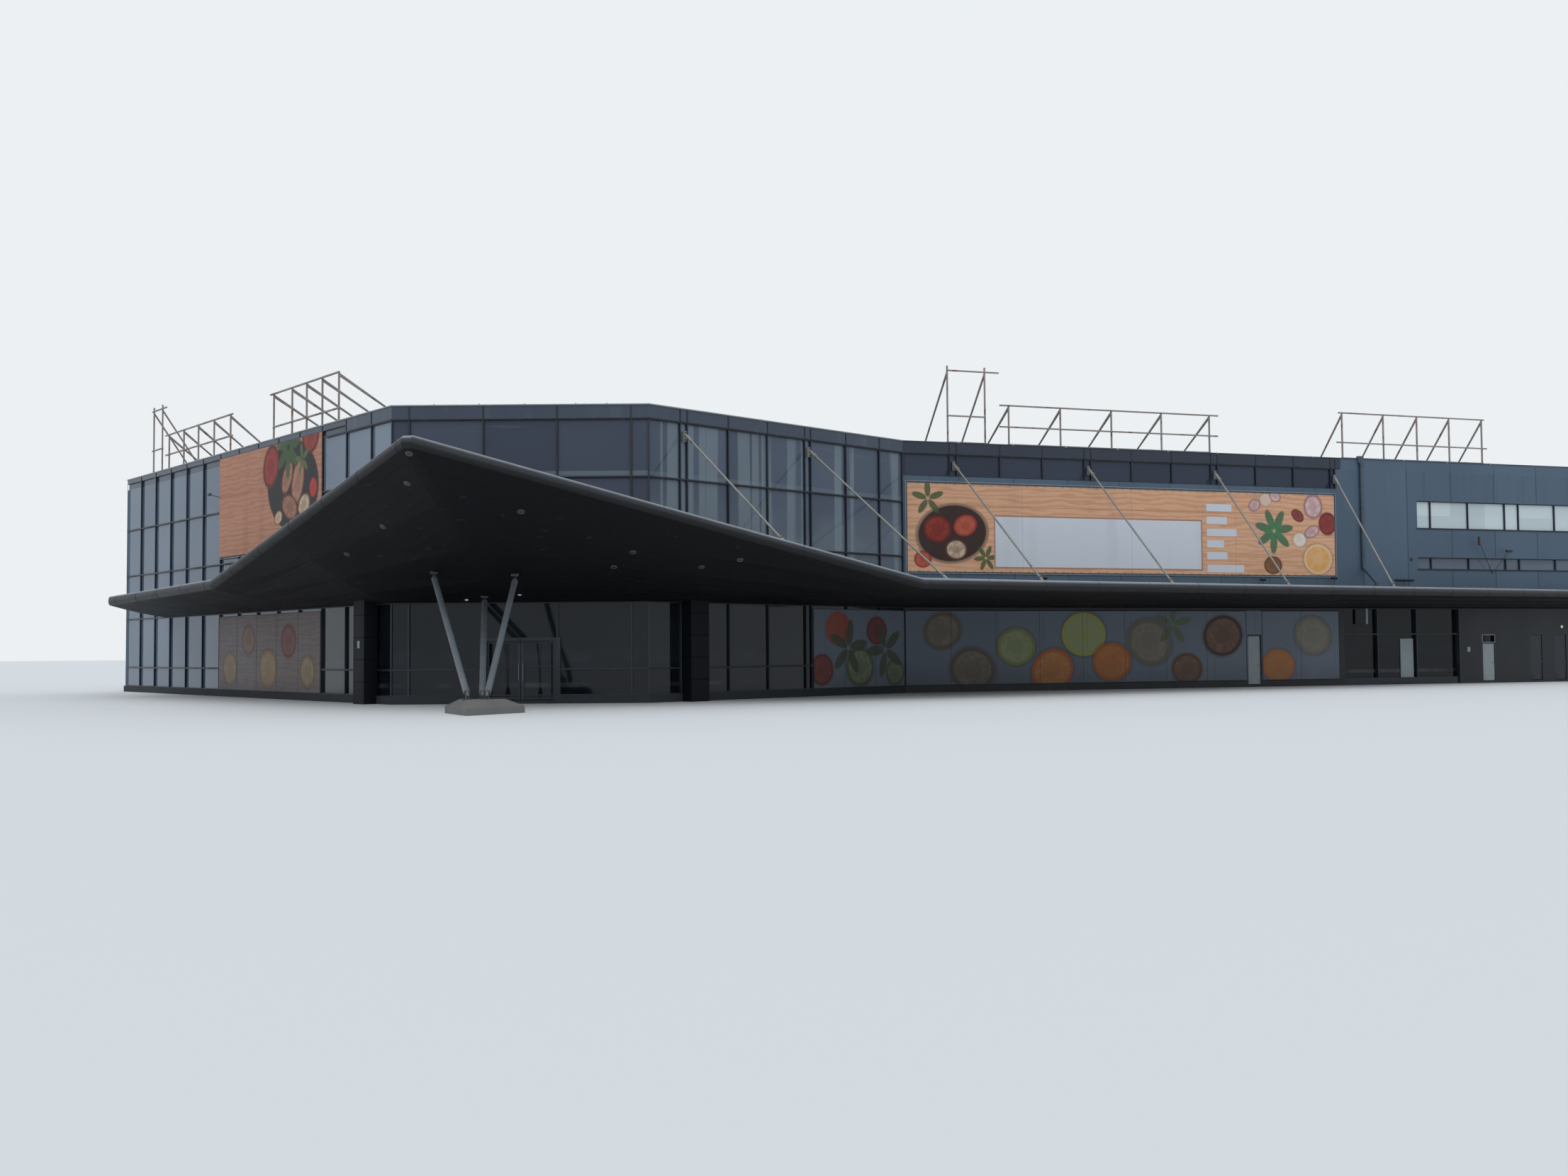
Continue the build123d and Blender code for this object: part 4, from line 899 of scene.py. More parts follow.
def make_mural():
    """Pale panels with large soft drops, one layout for each wall."""
    finish = Finish("mural_print", specular=0.35)
    main, right, left = [
        finish.measure(along[wall], wall_start(wall)) for wall in (MAIN, RIGHT, LEFT)]
    second = finish.measure(UP)
    cloud = finish.noise(2.2, 3.0)
    mottle = finish.noise(46.0, 3.0).ramp(0.35, 0.65)
    pale = finish.mix(cloud, (84, 94, 106), (112, 122, 134))
    wide = Picture(finish, main, second, pale, mottle)
    for *row, turned in (
        ((0.20, 0.30), 0.10, (96, 84, 70), (122, 112, 98), 20.0),
        ((0.36, 0.11), 0.12, (88, 78, 66), (116, 108, 94), -10.0),
        ((0.60, 0.22), 0.105, LIME, PALE_GREEN, 0.0),
        ((0.80, 0.10), 0.12, ORANGE, (186, 132, 74), 30.0),
        ((0.98, 0.28), 0.125, (150, 150, 70), PALE_GREEN, 0.0),
        ((1.14, 0.14), 0.11, ORANGE, (178, 120, 66), 0.0),
        ((1.36, 0.24), 0.13, (104, 96, 84), (124, 118, 106), -25.0),
        ((1.58, 0.10), 0.09, BROWN, (110, 90, 72), 0.0),
        ((1.80, 0.27), 0.12, (60, 44, 38), (120, 88, 70), 12.0),
        ((2.14, 0.11), 0.10, ORANGE, (150, 110, 66), 0.0),
        ((2.36, 0.27), 0.115, (110, 104, 92), (126, 122, 112), -15.0),
    ):
        wide.slice(*row, 0.88, turned)
    wide.leaves((1.50, 0.33), 0.10, 5, (84, 96, 66), 15.0)
    side = Picture(finish, right, second, pale, mottle)
    for row in (
        ((1.02, 0.12), 0.075, DARK_RED, (120, 62, 52)),
        ((1.13, 0.31), 0.08, TOMATO, (132, 74, 58)),
        ((1.28, 0.13), 0.095, (70, 80, 50), (120, 126, 96)),
        ((1.40, 0.30), 0.07, DARK_RED, (110, 58, 50)),
        ((1.53, 0.10), 0.065, (70, 80, 50), (110, 118, 90)),
    ):
        side.slice(*row, 0.95)
    for middle, turned in (((1.20, 0.22), 10.0), ((1.46, 0.21), 40.0)):
        side.leaves(middle, 0.12, 5, (56, 66, 44), turned)
    wood = boards(finish, left, second, 0.061, (114, 102, 99), (92, 82, 80))
    far = Picture(finish, left, second, wood, mottle)
    for row in (
        ((1.62, 0.14), 0.09, (116, 88, 60), (140, 124, 96)),
        ((1.86, 0.28), 0.08, BROWN, (120, 96, 76)),
        ((2.10, 0.14), 0.10, (130, 98, 52), (146, 126, 92)),
        ((2.34, 0.27), 0.085, DARK_RED, (116, 74, 60)),
        ((2.55, 0.13), 0.08, (116, 88, 60), (140, 124, 96)),
    ):
        far.slice(*row)
    wide.lay(main < -0.002, side.colour)
    wide.lay(main < -1.6, far.colour)
    seams = main.joints(PANEL_WIDTH, 0.492, 0.497)
    dust = (1.0 - second.ramp(0.03, 0.16)) * finish.noise(9.0, 4.0)
    wide.lay(seams * 0.35, (52, 56, 62))
    wide.lay(dust * 0.5, (52, 52, 52))
    finish.put("Base Color", wide.colour)
    finish.put("Roughness", cloud * 0.2 + 0.35)
    finish.bump(cloud, 0.006, 0.25)
    return finish


make_mural().show_on("mural_panels")
print("finishes", len(bpy.data.materials))

# %% [markdown]
# ## Patterns for what repeats
# Caps on the bars, bolts, eyelets, boards and lamps all come many times. Each kind is
# one Geometry Nodes tree with named inputs for its sizes. What goes in is a mesh of bare
# points or lines, made in Python, and every point carries the direction it faces. The
# tree ends by making its instances real and giving them their material. Then the result
# is read back as a plain mesh, and the modifier has done its work.


# %% A Geometry Nodes tree with named inputs
class Pattern(Tree):
    """A Geometry Nodes tree that turns points or lines into a piece's mesh."""

    def __init__(self, name):
        super().__init__(bpy.data.node_groups.new(name, "GeometryNodeTree"))
        for way in ("INPUT", "OUTPUT"):
            self.tree.interface.new_socket("Geometry", in_out=way, socket_type="NodeSocketGeometry")
        self.entry = self.tree.nodes.new("NodeGroupInput")
        self.geometry = Value(self, self.entry.outputs[0])

    def given(self, name, kind="NodeSocketFloat"):
        """Adds a named input."""
        made = self.tree.interface.new_socket(name, in_out="INPUT", socket_type=kind)
        return Value(self, self.find(self.entry.outputs, made.identifier))

    def facing(self):
        """Direction that each point faces."""
        settings = {"data_type": "FLOAT_VECTOR"}
        return self.node("GeometryNodeInputNamedAttribute", settings, {"Name": "facing"}, "Attribute")

    def lifted(self, shape, height):
        """A shape moved up."""
        lift = self.node("ShaderNodeCombineXYZ", None, {"Z": height})
        sockets = {"Geometry": shape, "Translation": lift}
        return self.node("GeometryNodeTransform", None, sockets)

    def drum(self, sides, radius, top_radius, height):
        """Round or many-sided body that stands on its origin."""
        sockets = {"Vertices": sides, "Radius Top": top_radius, "Radius Bottom": radius, "Depth": height}
        return self.node("GeometryNodeMeshCone", {"fill_type": "NGON"}, sockets)

    def circle(self, sides, radius):
        """Round curve."""
        sockets = {"Resolution": sides, "Radius": radius}
        return self.node("GeometryNodeCurvePrimitiveCircle", None, sockets)

    def oblong(self, width, depth):
        """Rectangular curve."""
        sockets = {"Width": depth, "Height": width}
        return self.node("GeometryNodeCurvePrimitiveQuadrilateral", None, sockets)

    def rounded(self, curve, radius, count, **more):
        """A curve with rounded corners."""
        sockets = {"Curve": curve, "Radius": radius, "Count": count, **more}
        return self.node("GeometryNodeFilletCurve", {"mode": "POLY"}, sockets)

    def curves(self, mesh):
        """The edges of a mesh as curves."""
        return self.node("GeometryNodeMeshToCurve", None, {"Mesh": mesh})

    def faced(self, mesh):
        """The edges of a mesh as curves whose normals are the directions of its points."""
        sockets = {"Curve": self.curves(mesh), "Normal": self.facing()}
        return self.node("GeometryNodeSetCurveNormal", {"mode": "FREE"}, sockets)

    def swept(self, curve, profile, caps=True):
        """A profile drawn along a curve."""
        sockets = {"Curve": curve, "Profile Curve": profile, "Fill Caps": caps}
        return self.node("GeometryNodeCurveToMesh", None, sockets)

    def together(self, *shapes):
        """Several shapes as one."""
        return self.node("GeometryNodeJoinGeometry", None, {"Geometry": list(shapes)})

    def placed(self, shape):
        """The shape at every point, standing in the point's direction."""
        sockets = {"Vector": self.facing()}
        turned = self.node("FunctionNodeAlignRotationToVector", {"axis": "Z"}, sockets)
        sockets = {"Points": self.geometry, "Instance": shape, "Rotation": turned}
        return self.node("GeometryNodeInstanceOnPoints", None, sockets)

    def end(self, shape):
        """Makes instances real and gives them the material."""
        material = self.given("finish", "NodeSocketMaterial")
        real = self.node("GeometryNodeRealizeInstances", None, {"Geometry": shape})
        painted = self.node("GeometryNodeSetMaterial", None, {"Geometry": real, "Material": material})
        self.join(self.tree.nodes.new("NodeGroupOutput").inputs[0], painted)


# %% Bars and tubes along lines
def make_bar_pattern():
    """Straight bars with softened edges: width lies in the wall, depth stands out of it."""
    pattern = Pattern("bars")
    width, depth, edge = (pattern.given(name) for name in ("width", "depth", "edge"))
    line = pattern.faced(pattern.geometry)
    pattern.end(pattern.swept(line, pattern.rounded(pattern.oblong(width, depth), edge, 1)))
    return pattern


def make_tube_pattern():
    """Round tubes whose corners are bent to a radius."""
    pattern = Pattern("tubes")
    radius, bend = (pattern.given(name) for name in ("radius", "bend"))
    line = pattern.rounded(pattern.curves(pattern.geometry), bend, 4, **{"Limit Radius": True})
    pattern.end(pattern.swept(line, pattern.circle(8, radius)))
    return pattern


# %% Bolts, rings and domes at points
def make_bolt_pattern():
    """A washer, a six-sided nut and a rounded bolt end."""
    pattern = Pattern("bolts")
    radius = pattern.given("radius")
    washer = pattern.drum(12, radius * 1.5, radius * 1.4, radius * 0.3)
    nut = pattern.lifted(pattern.drum(6, radius, radius * 0.92, radius * 0.8), radius * 0.3)
    bolt_end = pattern.lifted(pattern.drum(8, radius * 0.5, radius * 0.3, radius * 0.5), radius * 1.1)
    pattern.end(pattern.placed(pattern.together(washer, nut, bolt_end)))
    return pattern


def make_ring_pattern():
    """A round rim swept from a small circle."""
    pattern = Pattern("rings")
    radius, thick = (pattern.given(name) for name in ("radius", "thick"))
    rim = pattern.swept(pattern.circle(20, radius), pattern.circle(6, thick), False)
    pattern.end(pattern.placed(pattern.lifted(rim, thick * 0.4)))
    return pattern


def make_dome_pattern():
    """A shallow dome of two drums, for lenses, caps and discs."""
    pattern = Pattern("domes")
    radius, high = (pattern.given(name) for name in ("radius", "high"))
    low = pattern.drum(16, radius, radius * 0.86, high * 0.6)
    top = pattern.lifted(pattern.drum(16, radius * 0.86, radius * 0.5, high * 0.4), high * 0.6)
    pattern.end(pattern.placed(pattern.together(low, top)))
    return pattern


# %% Strips that follow the underside of the canopy
def make_board_pattern():
    """Thin strips thrown up from level lines onto the surface above them."""
    pattern = Pattern("boards")
    canopy = pattern.given("canopy", "NodeSocketObject")
    width, depth = (pattern.given(name) for name in ("width", "depth"))
    target = pattern.node("GeometryNodeObjectInfo", None, {"Object": canopy}, "Geometry")
    sockets = {"Target Geometry": target, "Ray Direction": (0.0, 0.0, 1.0), "Ray Length": 2.0}
    hit = pattern.node("GeometryNodeRaycast", None, sockets, "Is Hit")
    missed = pattern.node("FunctionNodeBooleanMath", {"operation": "NOT"}, {"Boolean": hit})
    sockets = {"Geometry": pattern.geometry, "Selection": missed}
    kept = pattern.node("GeometryNodeDeleteGeometry", {"domain": "POINT"}, sockets)
    sockets = {"Geometry": kept, "Position": hit.output("Hit Position")}
    raised = pattern.node("GeometryNodeSetPosition", None, sockets)
    pattern.end(pattern.swept(pattern.faced(raised), pattern.oblong(width, depth)))
    return pattern


bar_pattern = make_bar_pattern()
tube_pattern = make_tube_pattern()
bolt_pattern = make_bolt_pattern()
ring_pattern = make_ring_pattern()
dome_pattern = make_dome_pattern()
board_pattern = make_board_pattern()
print("patterns", [group.name for group in bpy.data.node_groups])


# %% Points and lines that go in, and the piece that comes out
class Lines:
    """Points and edges; each point has the direction that it faces."""

    def __init__(self):
        self.points = []
        self.edges = []
        self.facings = []

    def add(self, points, edges, facing):
        """Adds points that face one way, and the edges between them."""
        first = len(self.points)
        self.points += [tuple(point) for point in points]
        self.edges += [(first + one, first + other) for one, other in edges]
        self.facings += [tuple(facing)] * len(points)

    def run(self, points, facing):
        """Adds a line through some points."""
        self.add(points, [(step, step + 1) for step in range(len(points) - 1)], facing)

    def level(self, wall, places, height, stand_out=0.0):
        """Adds a level line between distances along a wall."""
        self.run([on_wall(wall, place, height, stand_out) for place in places], outward[wall])

    def upright(self, wall, place, heights, stand_out=0.0):
        """Adds an upright line between heights on a wall."""
        self.run([on_wall(wall, place, height, stand_out) for height in heights], outward[wall])

    def spot(self, wall, place, height, stand_out=0.0):
        """Adds one point in front of a wall."""
        self.upright(wall, place, (height,), stand_out)

    def mesh(self, name):
        """The lines as a mesh."""
        made = bpy.data.meshes.new(name)
        made.from_pydata(self.points, self.edges, [])
        attribute = made.attributes.new("facing", "FLOAT_VECTOR", "POINT")
        numbers = [number for facing in self.facings for number in facing]
        attribute.data.foreach_set("vector", numbers)
        return made


def grow(name, pattern, lines, finish, slot, body=BODY, **sizes):
    """Makes a piece of a pattern and lets it ride on a body."""
    piece = bpy.data.objects.new(name, lines.mesh(name + "_lines"))
    bpy.context.scene.collection.objects.link(piece)
    modifier = piece.modifiers.new("pattern", "NODES")
    modifier.node_group = pattern.tree
    values = dict(sizes, finish=finish.material)
    for item in pattern.tree.interface.items_tree:
        if item.in_out == "INPUT" and item.name in values:
            modifier[item.identifier] = values[item.name]
    graph = bpy.context.evaluated_depsgraph_get()
    made = bpy.data.meshes.new_from_object(piece.evaluated_get(graph))
    piece.modifiers.clear()
    piece.data = made
    made.name = name
    made.materials.clear()
    made.materials.append(finish.material)
    made.polygons.foreach_set("material_index", [0] * len(made.polygons))
    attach(piece, body)
    print(name, len(made.polygons), "faces")
    return piece


# %% [markdown]
# ## Caps on the bars of the curtain walls
# A curtain wall's pane is held by a pressure plate under a thin cap, and the cap is what
# one sees. The bars are already in the frames, so their middle lines are found there: a
# bar's two sides are edges that lie its width apart. Where a banner, a panel or the
# canopy covers the wall, the caps stop.

# %% Middle lines of a frame's bars
COVERED = (
    (LEFT, 1.460, 2.692, 0.698, 1.202),
    (LEFT, 1.465, 2.692, 0.0, 0.402),
    (RIGHT, 0.963, 1.7, 0.0, 0.402),
    (LEFT, 0.66, 3.5, 0.412, 0.502),
    (FRONT, -0.1, 1.2, 0.412, 0.502),
    (RIGHT, -0.1, 1.8, 0.412, 0.502),
    (FRONT, 0.360, 0.700, 0.0, 0.272),
)
SHORTEST = 0.004


def cut_out(spans, low, high):
    """Spans without what lies between two values."""
    parts = [part for start, end in spans for part in ((start, min(end, low)), (max(start, high), end))]
    return [(start, end) for start, end in parts if end - start > SHORTEST]


def uncovered(wall, place, low, high, upright):
    """Parts of a bar that nothing covers."""
    spans = [(low, high)]
    for covered_wall, left, right, bottom, top in COVERED:
        across, run = ((left, right), (bottom, top)) if upright else ((bottom, top), (left, right))
        if covered_wall == wall and across[0] < place < across[1]:
            spans = cut_out(spans, *run)
    return spans


def frame_bars(node, wall, face, upright):
    """Middle lines of a frame's bars, pane by pane."""
    mesh = frame["nodes"][node].data
    sides = set()
    for edge in mesh.edges:
        ends = [mesh.vertices[index].co - corners[wall] for index in edge.vertices]
        if max(abs(end.dot(outward[wall]) - face) for end in ends) > 0.0005:
            continue
        spots = [(round(end.dot(along[wall]), 4), round(end.z, 4)) for end in ends]
        places, levels = sorted(spot[0] for spot in spots), sorted(spot[1] for spot in spots)
        fixed, running = (places, levels) if upright else (levels, places)
        if fixed[1] - fixed[0] < 0.0003 and running[1] - running[0] > 0.02:
            sides.add((fixed[0], *running))
    found = []
    for low_side, start, end in sorted(sides):
        for high_side, other_start, other_end in sides:
            same = abs(start - other_start) + abs(end - other_end) < 0.002
            if same and abs(high_side - low_side - BAR) < 0.0008:
                found.append(((low_side + high_side) / 2, start, end))
    return found


# %% Caps
CAP_WIDTH, CAP_DEPTH = 0.0056, 0.0018


def cap_lines(node, wall, face=0.0):
    """Lines of the caps in front of one frame."""
    lines = Lines()
    stand_out = face + CAP_DEPTH / 2
    for upright in (True, False):
        reach = BAR / 2 if upright else (BAR - CAP_WIDTH) / 2
        for place, start, end in frame_bars(node, wall, face, upright):
            for low, high in uncovered(wall, place, start - reach, end + reach, upright):
                spots = [(place, low), (place, high)] if upright else [(low, place), (high, place)]
                lines.run([on_wall(wall, *spot, stand_out) for spot in spots], outward[wall])
    return lines


CAP_SIZES = {"width": CAP_WIDTH, "depth": CAP_DEPTH, "edge": 0.0005}
faces = [(node, wall, 0.0) for wall, node in WALL_FRAMES.items()]
faces += [(node, MAIN, -0.008) for node in ("ribbon_frame", "shop_frame")]
for node, wall, face in faces:
    name, lines = node.replace("frame", "caps"), cap_lines(node, wall, face)
    grow(name, bar_pattern, lines, frame_finish, "dark_frame", **CAP_SIZES)

# %% [markdown]
# ## The band and the coping at the top
# Dark bars run on through the band above the panes, and a pale folded coping closes the
# top. Its line turns the corners of the plan, so it is one mitred line for each wall,
# with small cover plates where two lengths of metal meet.

# %% Band bars
band_bars = Lines()
LEFT_BAND_LOW, LEFT_DEEP_BAND = 1.205, 2.70
for wall, places in bars.items():
    for place in places:
        low = LEFT_BAND_LOW if wall == LEFT and place < LEFT_DEEP_BAND else BAND_LOW
        band_bars.upright(wall, place, (low, WALL_TOP - 0.006), 0.001)
WHOLE_WALLS = [(wall, 0.0, WALL_LENGTHS[wall]) for wall in (FRONT, RIGHT)]
for wall, *ends in ((LEFT, 2.71, WALL_LENGTHS[LEFT]), *WHOLE_WALLS, (MAIN, 0.0, 2.56)):
    band_bars.level(wall, ends, BAND_LOW + 0.002, 0.001)
grow("band_bars", bar_pattern, band_bars, frame_finish, "dark_frame",
     width=0.0066, depth=0.003, edge=0.0006)

# %% Coping
pale_coping, dark_coping, plates = Lines(), Lines(), Lines()
COPING_HIGH, COPING_LENGTH = WALL_TOP - 0.001, 0.3
for wall in (LEFT, FRONT, RIGHT, MAIN, END, BACK):
    lines = pale_coping if wall < MAIN else dark_coping
    stand_out = -0.0055 if wall == END else -0.001
    lines.run(ledge(wall, COPING_HIGH, stand_out), outward[wall])
    count = round(WALL_LENGTHS[wall] / COPING_LENGTH)
    for number in range(1, count):
        place = WALL_LENGTHS[wall] * number / count
        plates.level(wall, (place - 0.006, place + 0.006), COPING_HIGH, stand_out)
for name, lines, finish, width, depth in (
    ("coping_pale", pale_coping, zinc, 0.006, 0.010),
    ("coping_dark", dark_coping, pipe_paint, 0.0045, 0.010),
    ("coping_plates", plates, zinc, 0.0068, 0.0108),
):
    grow(name, bar_pattern, lines, finish, "band_metal", width=width, depth=depth, edge=0.001)

# %% Stubs on the coping and seams on the roof
stubs = Lines()
for column, row in ((612, 566), (676, 566), (740, 566), (812, 567), (856, 568)):
    place, height = seen_on(FRONT, column, row)
    stubs.run([on_wall(FRONT, place, WALL_TOP + 0.0015, -0.003)], UP)
grow("coping_stubs", bolt_pattern, stubs, zinc, "band_metal", radius=0.0032)

roof_seams = Lines()
SEAM_BAYS = 13
rear_depth = (corners[BACK] - corners[END]).length
for number in range(1, SEAM_BAYS):
    depth = rear_depth * number / SEAM_BAYS
    start_x = on_wall(LEFT, depth / -along[LEFT].y).x + 0.06
    level = corners[BACK].y - depth
    ends = [Vector((x, level, BAND_LOW + 0.0006)) for x in (start_x, corners[END].x - 0.04)]
    roof_seams.run(ends, UP)
grow("roof_seams", bar_pattern, roof_seams, zinc, "concrete", width=0.006, depth=0.0024, edge=0.0005)

# %% [markdown]
# ## Details of the canopy
# The underside is boarded, with thin strips over the joints that run as the front edge
# does. Level lines are thrown up onto the wing above them, which gives each strip the
# twist of the wing. The nose is bent from lengths of sheet, so a bead goes round it at
# each joint: the nose's own mesh is cut there, and the cut's outline is the bead's path.

# %% Boards
PEAK = inner_corner + Vector((-2.460, -1.530, 0))
BOARD, BOARD_ROWS = 0.045, 40
right_end = on_wall(MAIN, WALL_LENGTHS[MAIN], 0.0, 0.060)
crests = {"canopy_left": -along[LEFT], "canopy_right": (right_end - PEAK).normalized()}
for node, crest in crests.items():
    inside = crest.cross(UP) if node == "canopy_left" else UP.cross(crest)
    joints = Lines()
    for row in range(1, BOARD_ROWS):
        start = PEAK + inside * (row * BOARD) - crest * 1.2
        joints.run([start + crest * (0.05 * step) for step in range(190)], -UP)
    grow(node.replace("canopy", "boards"), board_pattern, joints, soffits[node], "soffit_board",
         canopy=frame["nodes"][node], width=0.0026, depth=0.0012)

# %% Beads round the nose
def welded(node):
    """A node's mesh with its loose triangles joined."""
    shell = bmesh.new()
    shell.from_mesh(frame["nodes"][node].data)
    bmesh.ops.remove_doubles(shell, verts=shell.verts, dist=1e-5)
    return shell


def outline_of_cut(node, point, direction):
    """Points and edges where a plane cuts a node."""
    shell = welded(node)
    everything = [*shell.verts, *shell.edges, *shell.faces]
    bmesh.ops.bisect_plane(
        shell, geom=everything, plane_co=point, plane_no=direction, clear_inner=True, clear_outer=True)
    shell.verts.index_update()
    points = [vertex.co.copy() for vertex in shell.verts]
    edges = [tuple(vertex.index for vertex in edge.verts) for edge in shell.edges]
    shell.free()
    return points, edges


nose_beads = Lines()
for side, last in (("left", 10), ("right", 24)):
    crest = crests["canopy_" + side]
    for number in range(last + 1):
        spot = PEAK + crest * (0.06 + 0.3 * number)
        nose_beads.add(*outline_of_cut("canopy_nose_" + side, spot, crest), UP)
grow("nose_beads", tube_pattern, nose_beads, nose_finish, "canopy_metal", radius=0.0011, bend=0.0)

# %% Flashings where the canopy meets the walls
flashings, trims = Lines(), Lines()
for wall, *ends in ((LEFT, 0.70, WALL_LENGTHS[LEFT]), *WHOLE_WALLS, (MAIN, 0.0, 4.765)):
    flashings.level(wall, ends, 0.5035, 0.0022)
    trims.level(wall, ends, 0.4135, 0.0020)
grow("canopy_flashings", bar_pattern, flashings, zinc, "canopy_metal",
     width=0.009, depth=0.0044, edge=0.001)
grow("soffit_trims", bar_pattern, trims, dark_fitting, "soffit_board",
     width=0.004, depth=0.0036, edge=0.0006)

# %% What a line of sight meets
def tree_of(*names):
    """Search tree of some nodes' faces."""
    points, faces = [], []
    for name in names:
        mesh = frame["nodes"][name].data
        first = len(points)
        points += [vertex.co.copy() for vertex in mesh.vertices]
        faces += [[first + index for index in polygon.vertices] for polygon in mesh.polygons]
    return BVHTree.FromPolygons(points, faces)


canopy_tree = tree_of("canopy_left", "canopy_right", "canopy_nose_left", "canopy_nose_right")

# %% Downlights in the soffit
DOWNLIGHTS = ((577, 640), (574, 682), (540, 743), (489, 782), (735, 722), (866, 800), (893, 779),
              (1044, 790), (990, 800))
LIT_DOWNLIGHTS = ((658, 846), (733, 839))
downlights, lit_downlights = Lines(), Lines()
for lines, pixels in ((downlights, DOWNLIGHTS), (lit_downlights, LIT_DOWNLIGHTS)):
    for column, row in pixels:
        point, normal = canopy_tree.ray_cast(eye, sight(column, row))[:2]
        if point is not None:
            lines.run([point], normal)
print("downlights", len(downlights.points), "lit", len(lit_downlights.points))

lens = Finish("lens", rough=0.2, specular=0.6)
speckle = lens.noise(160.0, 2.0)
lens.put("Base Color", lens.mix(speckle, (24, 24, 24), (46, 46, 44)))
lit_lens = Finish("lit_lens", rough=0.3)
speckle = lit_lens.noise(160.0, 2.0)
lit_lens.put("Base Color", lit_lens.mix(speckle, (190, 186, 170), (214, 210, 198)))
lit_lens.put("Emission Color", (150, 146, 132))
lit_lens.shader.inputs["Emission Strength"].default_value = 0.5
grow("downlight_rims", ring_pattern, downlights, sign_steel, "canopy_metal", radius=0.0115, thick=0.0007)
grow("downlight_lenses", dome_pattern, downlights, lens, "canopy_metal", radius=0.0105, high=0.0016)
grow("lit_rims", ring_pattern, lit_downlights, zinc, "canopy_metal", radius=0.0080, thick=0.0011)
grow("lit_lenses", dome_pattern, lit_downlights, lit_lens, "facade_glass", radius=0.0072, high=0.0022)

# %% [markdown]
# ## Fittings of the steelwork
# Each tie rod ends in a sleeve with a lock nut, and its wall plate is bolted. The
# columns' base plates are bolted down, and the roof frames stand on small plates. The
# places repeat the measures of the steelwork: a distance along a wall and a height.

# %% Tie rods
ROD_TOP, ROD_LINK, ROD_SETBACK, ROD_SLEEVE = 1.120, 0.010, 0.060, 0.040
ROD_PLACES = (
    (RIGHT, 0.1915), (RIGHT, 0.9415), (MAIN, 0.270), (MAIN, 1.020), (MAIN, 1.770), (MAIN, 2.520))
crest_normal = UP.cross(crests["canopy_right"])
lock_nuts, plate_bolts, rod_feet = Lines(), Lines(), Lines()
for wall, place in ROD_PLACES:
    base = on_wall(wall, place)
    reach = (right_end - base).dot(crest_normal) / outward[wall].dot(crest_normal)
    anchor = on_wall(wall, place, 1.6, reach - ROD_SETBACK)
    low_end = canopy_tree.ray_cast(anchor, -UP)[0]
    high_end = on_wall(wall, place, ROD_TOP, ROD_LINK)
    slope = (high_end - low_end).normalized()
    lock_nuts.run([low_end + slope * (ROD_SLEEVE - ROD_LINK)], slope)
    lock_nuts.run([high_end - slope * (ROD_SLEEVE + ROD_LINK)], -slope)
    rod_feet.run([low_end - UP * 0.001], UP)
    for height in (ROD_TOP - 0.024, ROD_TOP + 0.009):
        plate_bolts.spot(wall, place, height, ROD_LINK - 0.0002)
grow("rod_lock_nuts", bolt_pattern, lock_nuts, rod_paint, "bracket_steel", radius=0.0068)
grow("rod_plate_bolts", bolt_pattern, plate_bolts, bracket_rust, "bracket_steel", radius=0.0026)
grow("rod_foot_collars", ring_pattern, rod_feet, zinc, "bracket_steel", radius=0.0115, thick=0.0028)

# %% Bolts of the columns' base plates
COLUMN_FEET = ((-2.250, -1.488), (-2.197, -1.473), (-2.185, -1.509))
COLUMN_TOPS = ((-2.298, -0.737), (-2.082, -0.570), (-1.998, -0.855))
MOUND_TOP, PLATE_THICK, BOLT_SPREAD = 0.050, 0.002, 0.0115
base_bolts = Lines()
for foot, top in zip(COLUMN_FEET, COLUMN_TOPS):
    low = inner_corner + Vector((*foot, MOUND_TOP + PLATE_THICK))
    lean = inner_corner + Vector((*top, 0.55)) - low
    side = lean.normalized().cross(UP).normalized()
    forward = side.cross(UP)
    for across in (-BOLT_SPREAD, BOLT_SPREAD):
        for onward in (-BOLT_SPREAD, BOLT_SPREAD):
            base_bolts.run([low + side * across + forward * onward - UP * 0.0002], UP)
grow("base_bolts", bolt_pattern, base_bolts, bracket_rust, "bracket_steel", radius=0.0021)

# %% Feet and clamps of the roof frames
SIGN_FRAMES = (
    (LEFT, (0.392, 0.533), (1.583, 1.360)),
    (LEFT, (0.645, 0.875, 1.094, 1.320, 1.547), (1.423, 1.314)),
    (LEFT, (2.098, 2.313, 2.477, 2.647, 2.820), (1.453, 1.293)),
    (MAIN, (0.251, 0.455), (1.592, 1.366)),
    (MAIN, (0.586, 0.877, 1.171, 1.466, 1.756), (1.430, 1.322)),
    (MAIN, (2.596, 2.868, 3.094, 3.314, 3.541), (1.480, 1.318)),
)
POST_SIDE, SIGN_FACE = 0.007, -0.015
shoes, shoe_bolts, clamps = Lines(), Lines(), Lines()
for wall, posts, levels in SIGN_FRAMES:
    for place in posts:
        middle = SIGN_FACE - POST_SIDE / 2
        shoes.upright(wall, place, (WALL_TOP, WALL_TOP + 0.002), middle)
        for side in (-0.0085, 0.0085):
            shoe_bolts.run([on_wall(wall, place + side, WALL_TOP + 0.002, middle)], UP)
        for level in levels:
            clamps.spot(wall, place, level - POST_SIDE / 2, SIGN_FACE)
grow("sign_shoes", bar_pattern, shoes, sign_steel, "sign_steel", width=0.024, depth=0.014, edge=0.001)
grow("sign_shoe_bolts", bolt_pattern, shoe_bolts, sign_steel, "sign_steel", radius=0.0018)
grow("sign_clamps", bolt_pattern, clamps, sign_steel, "sign_steel", radius=0.0026)

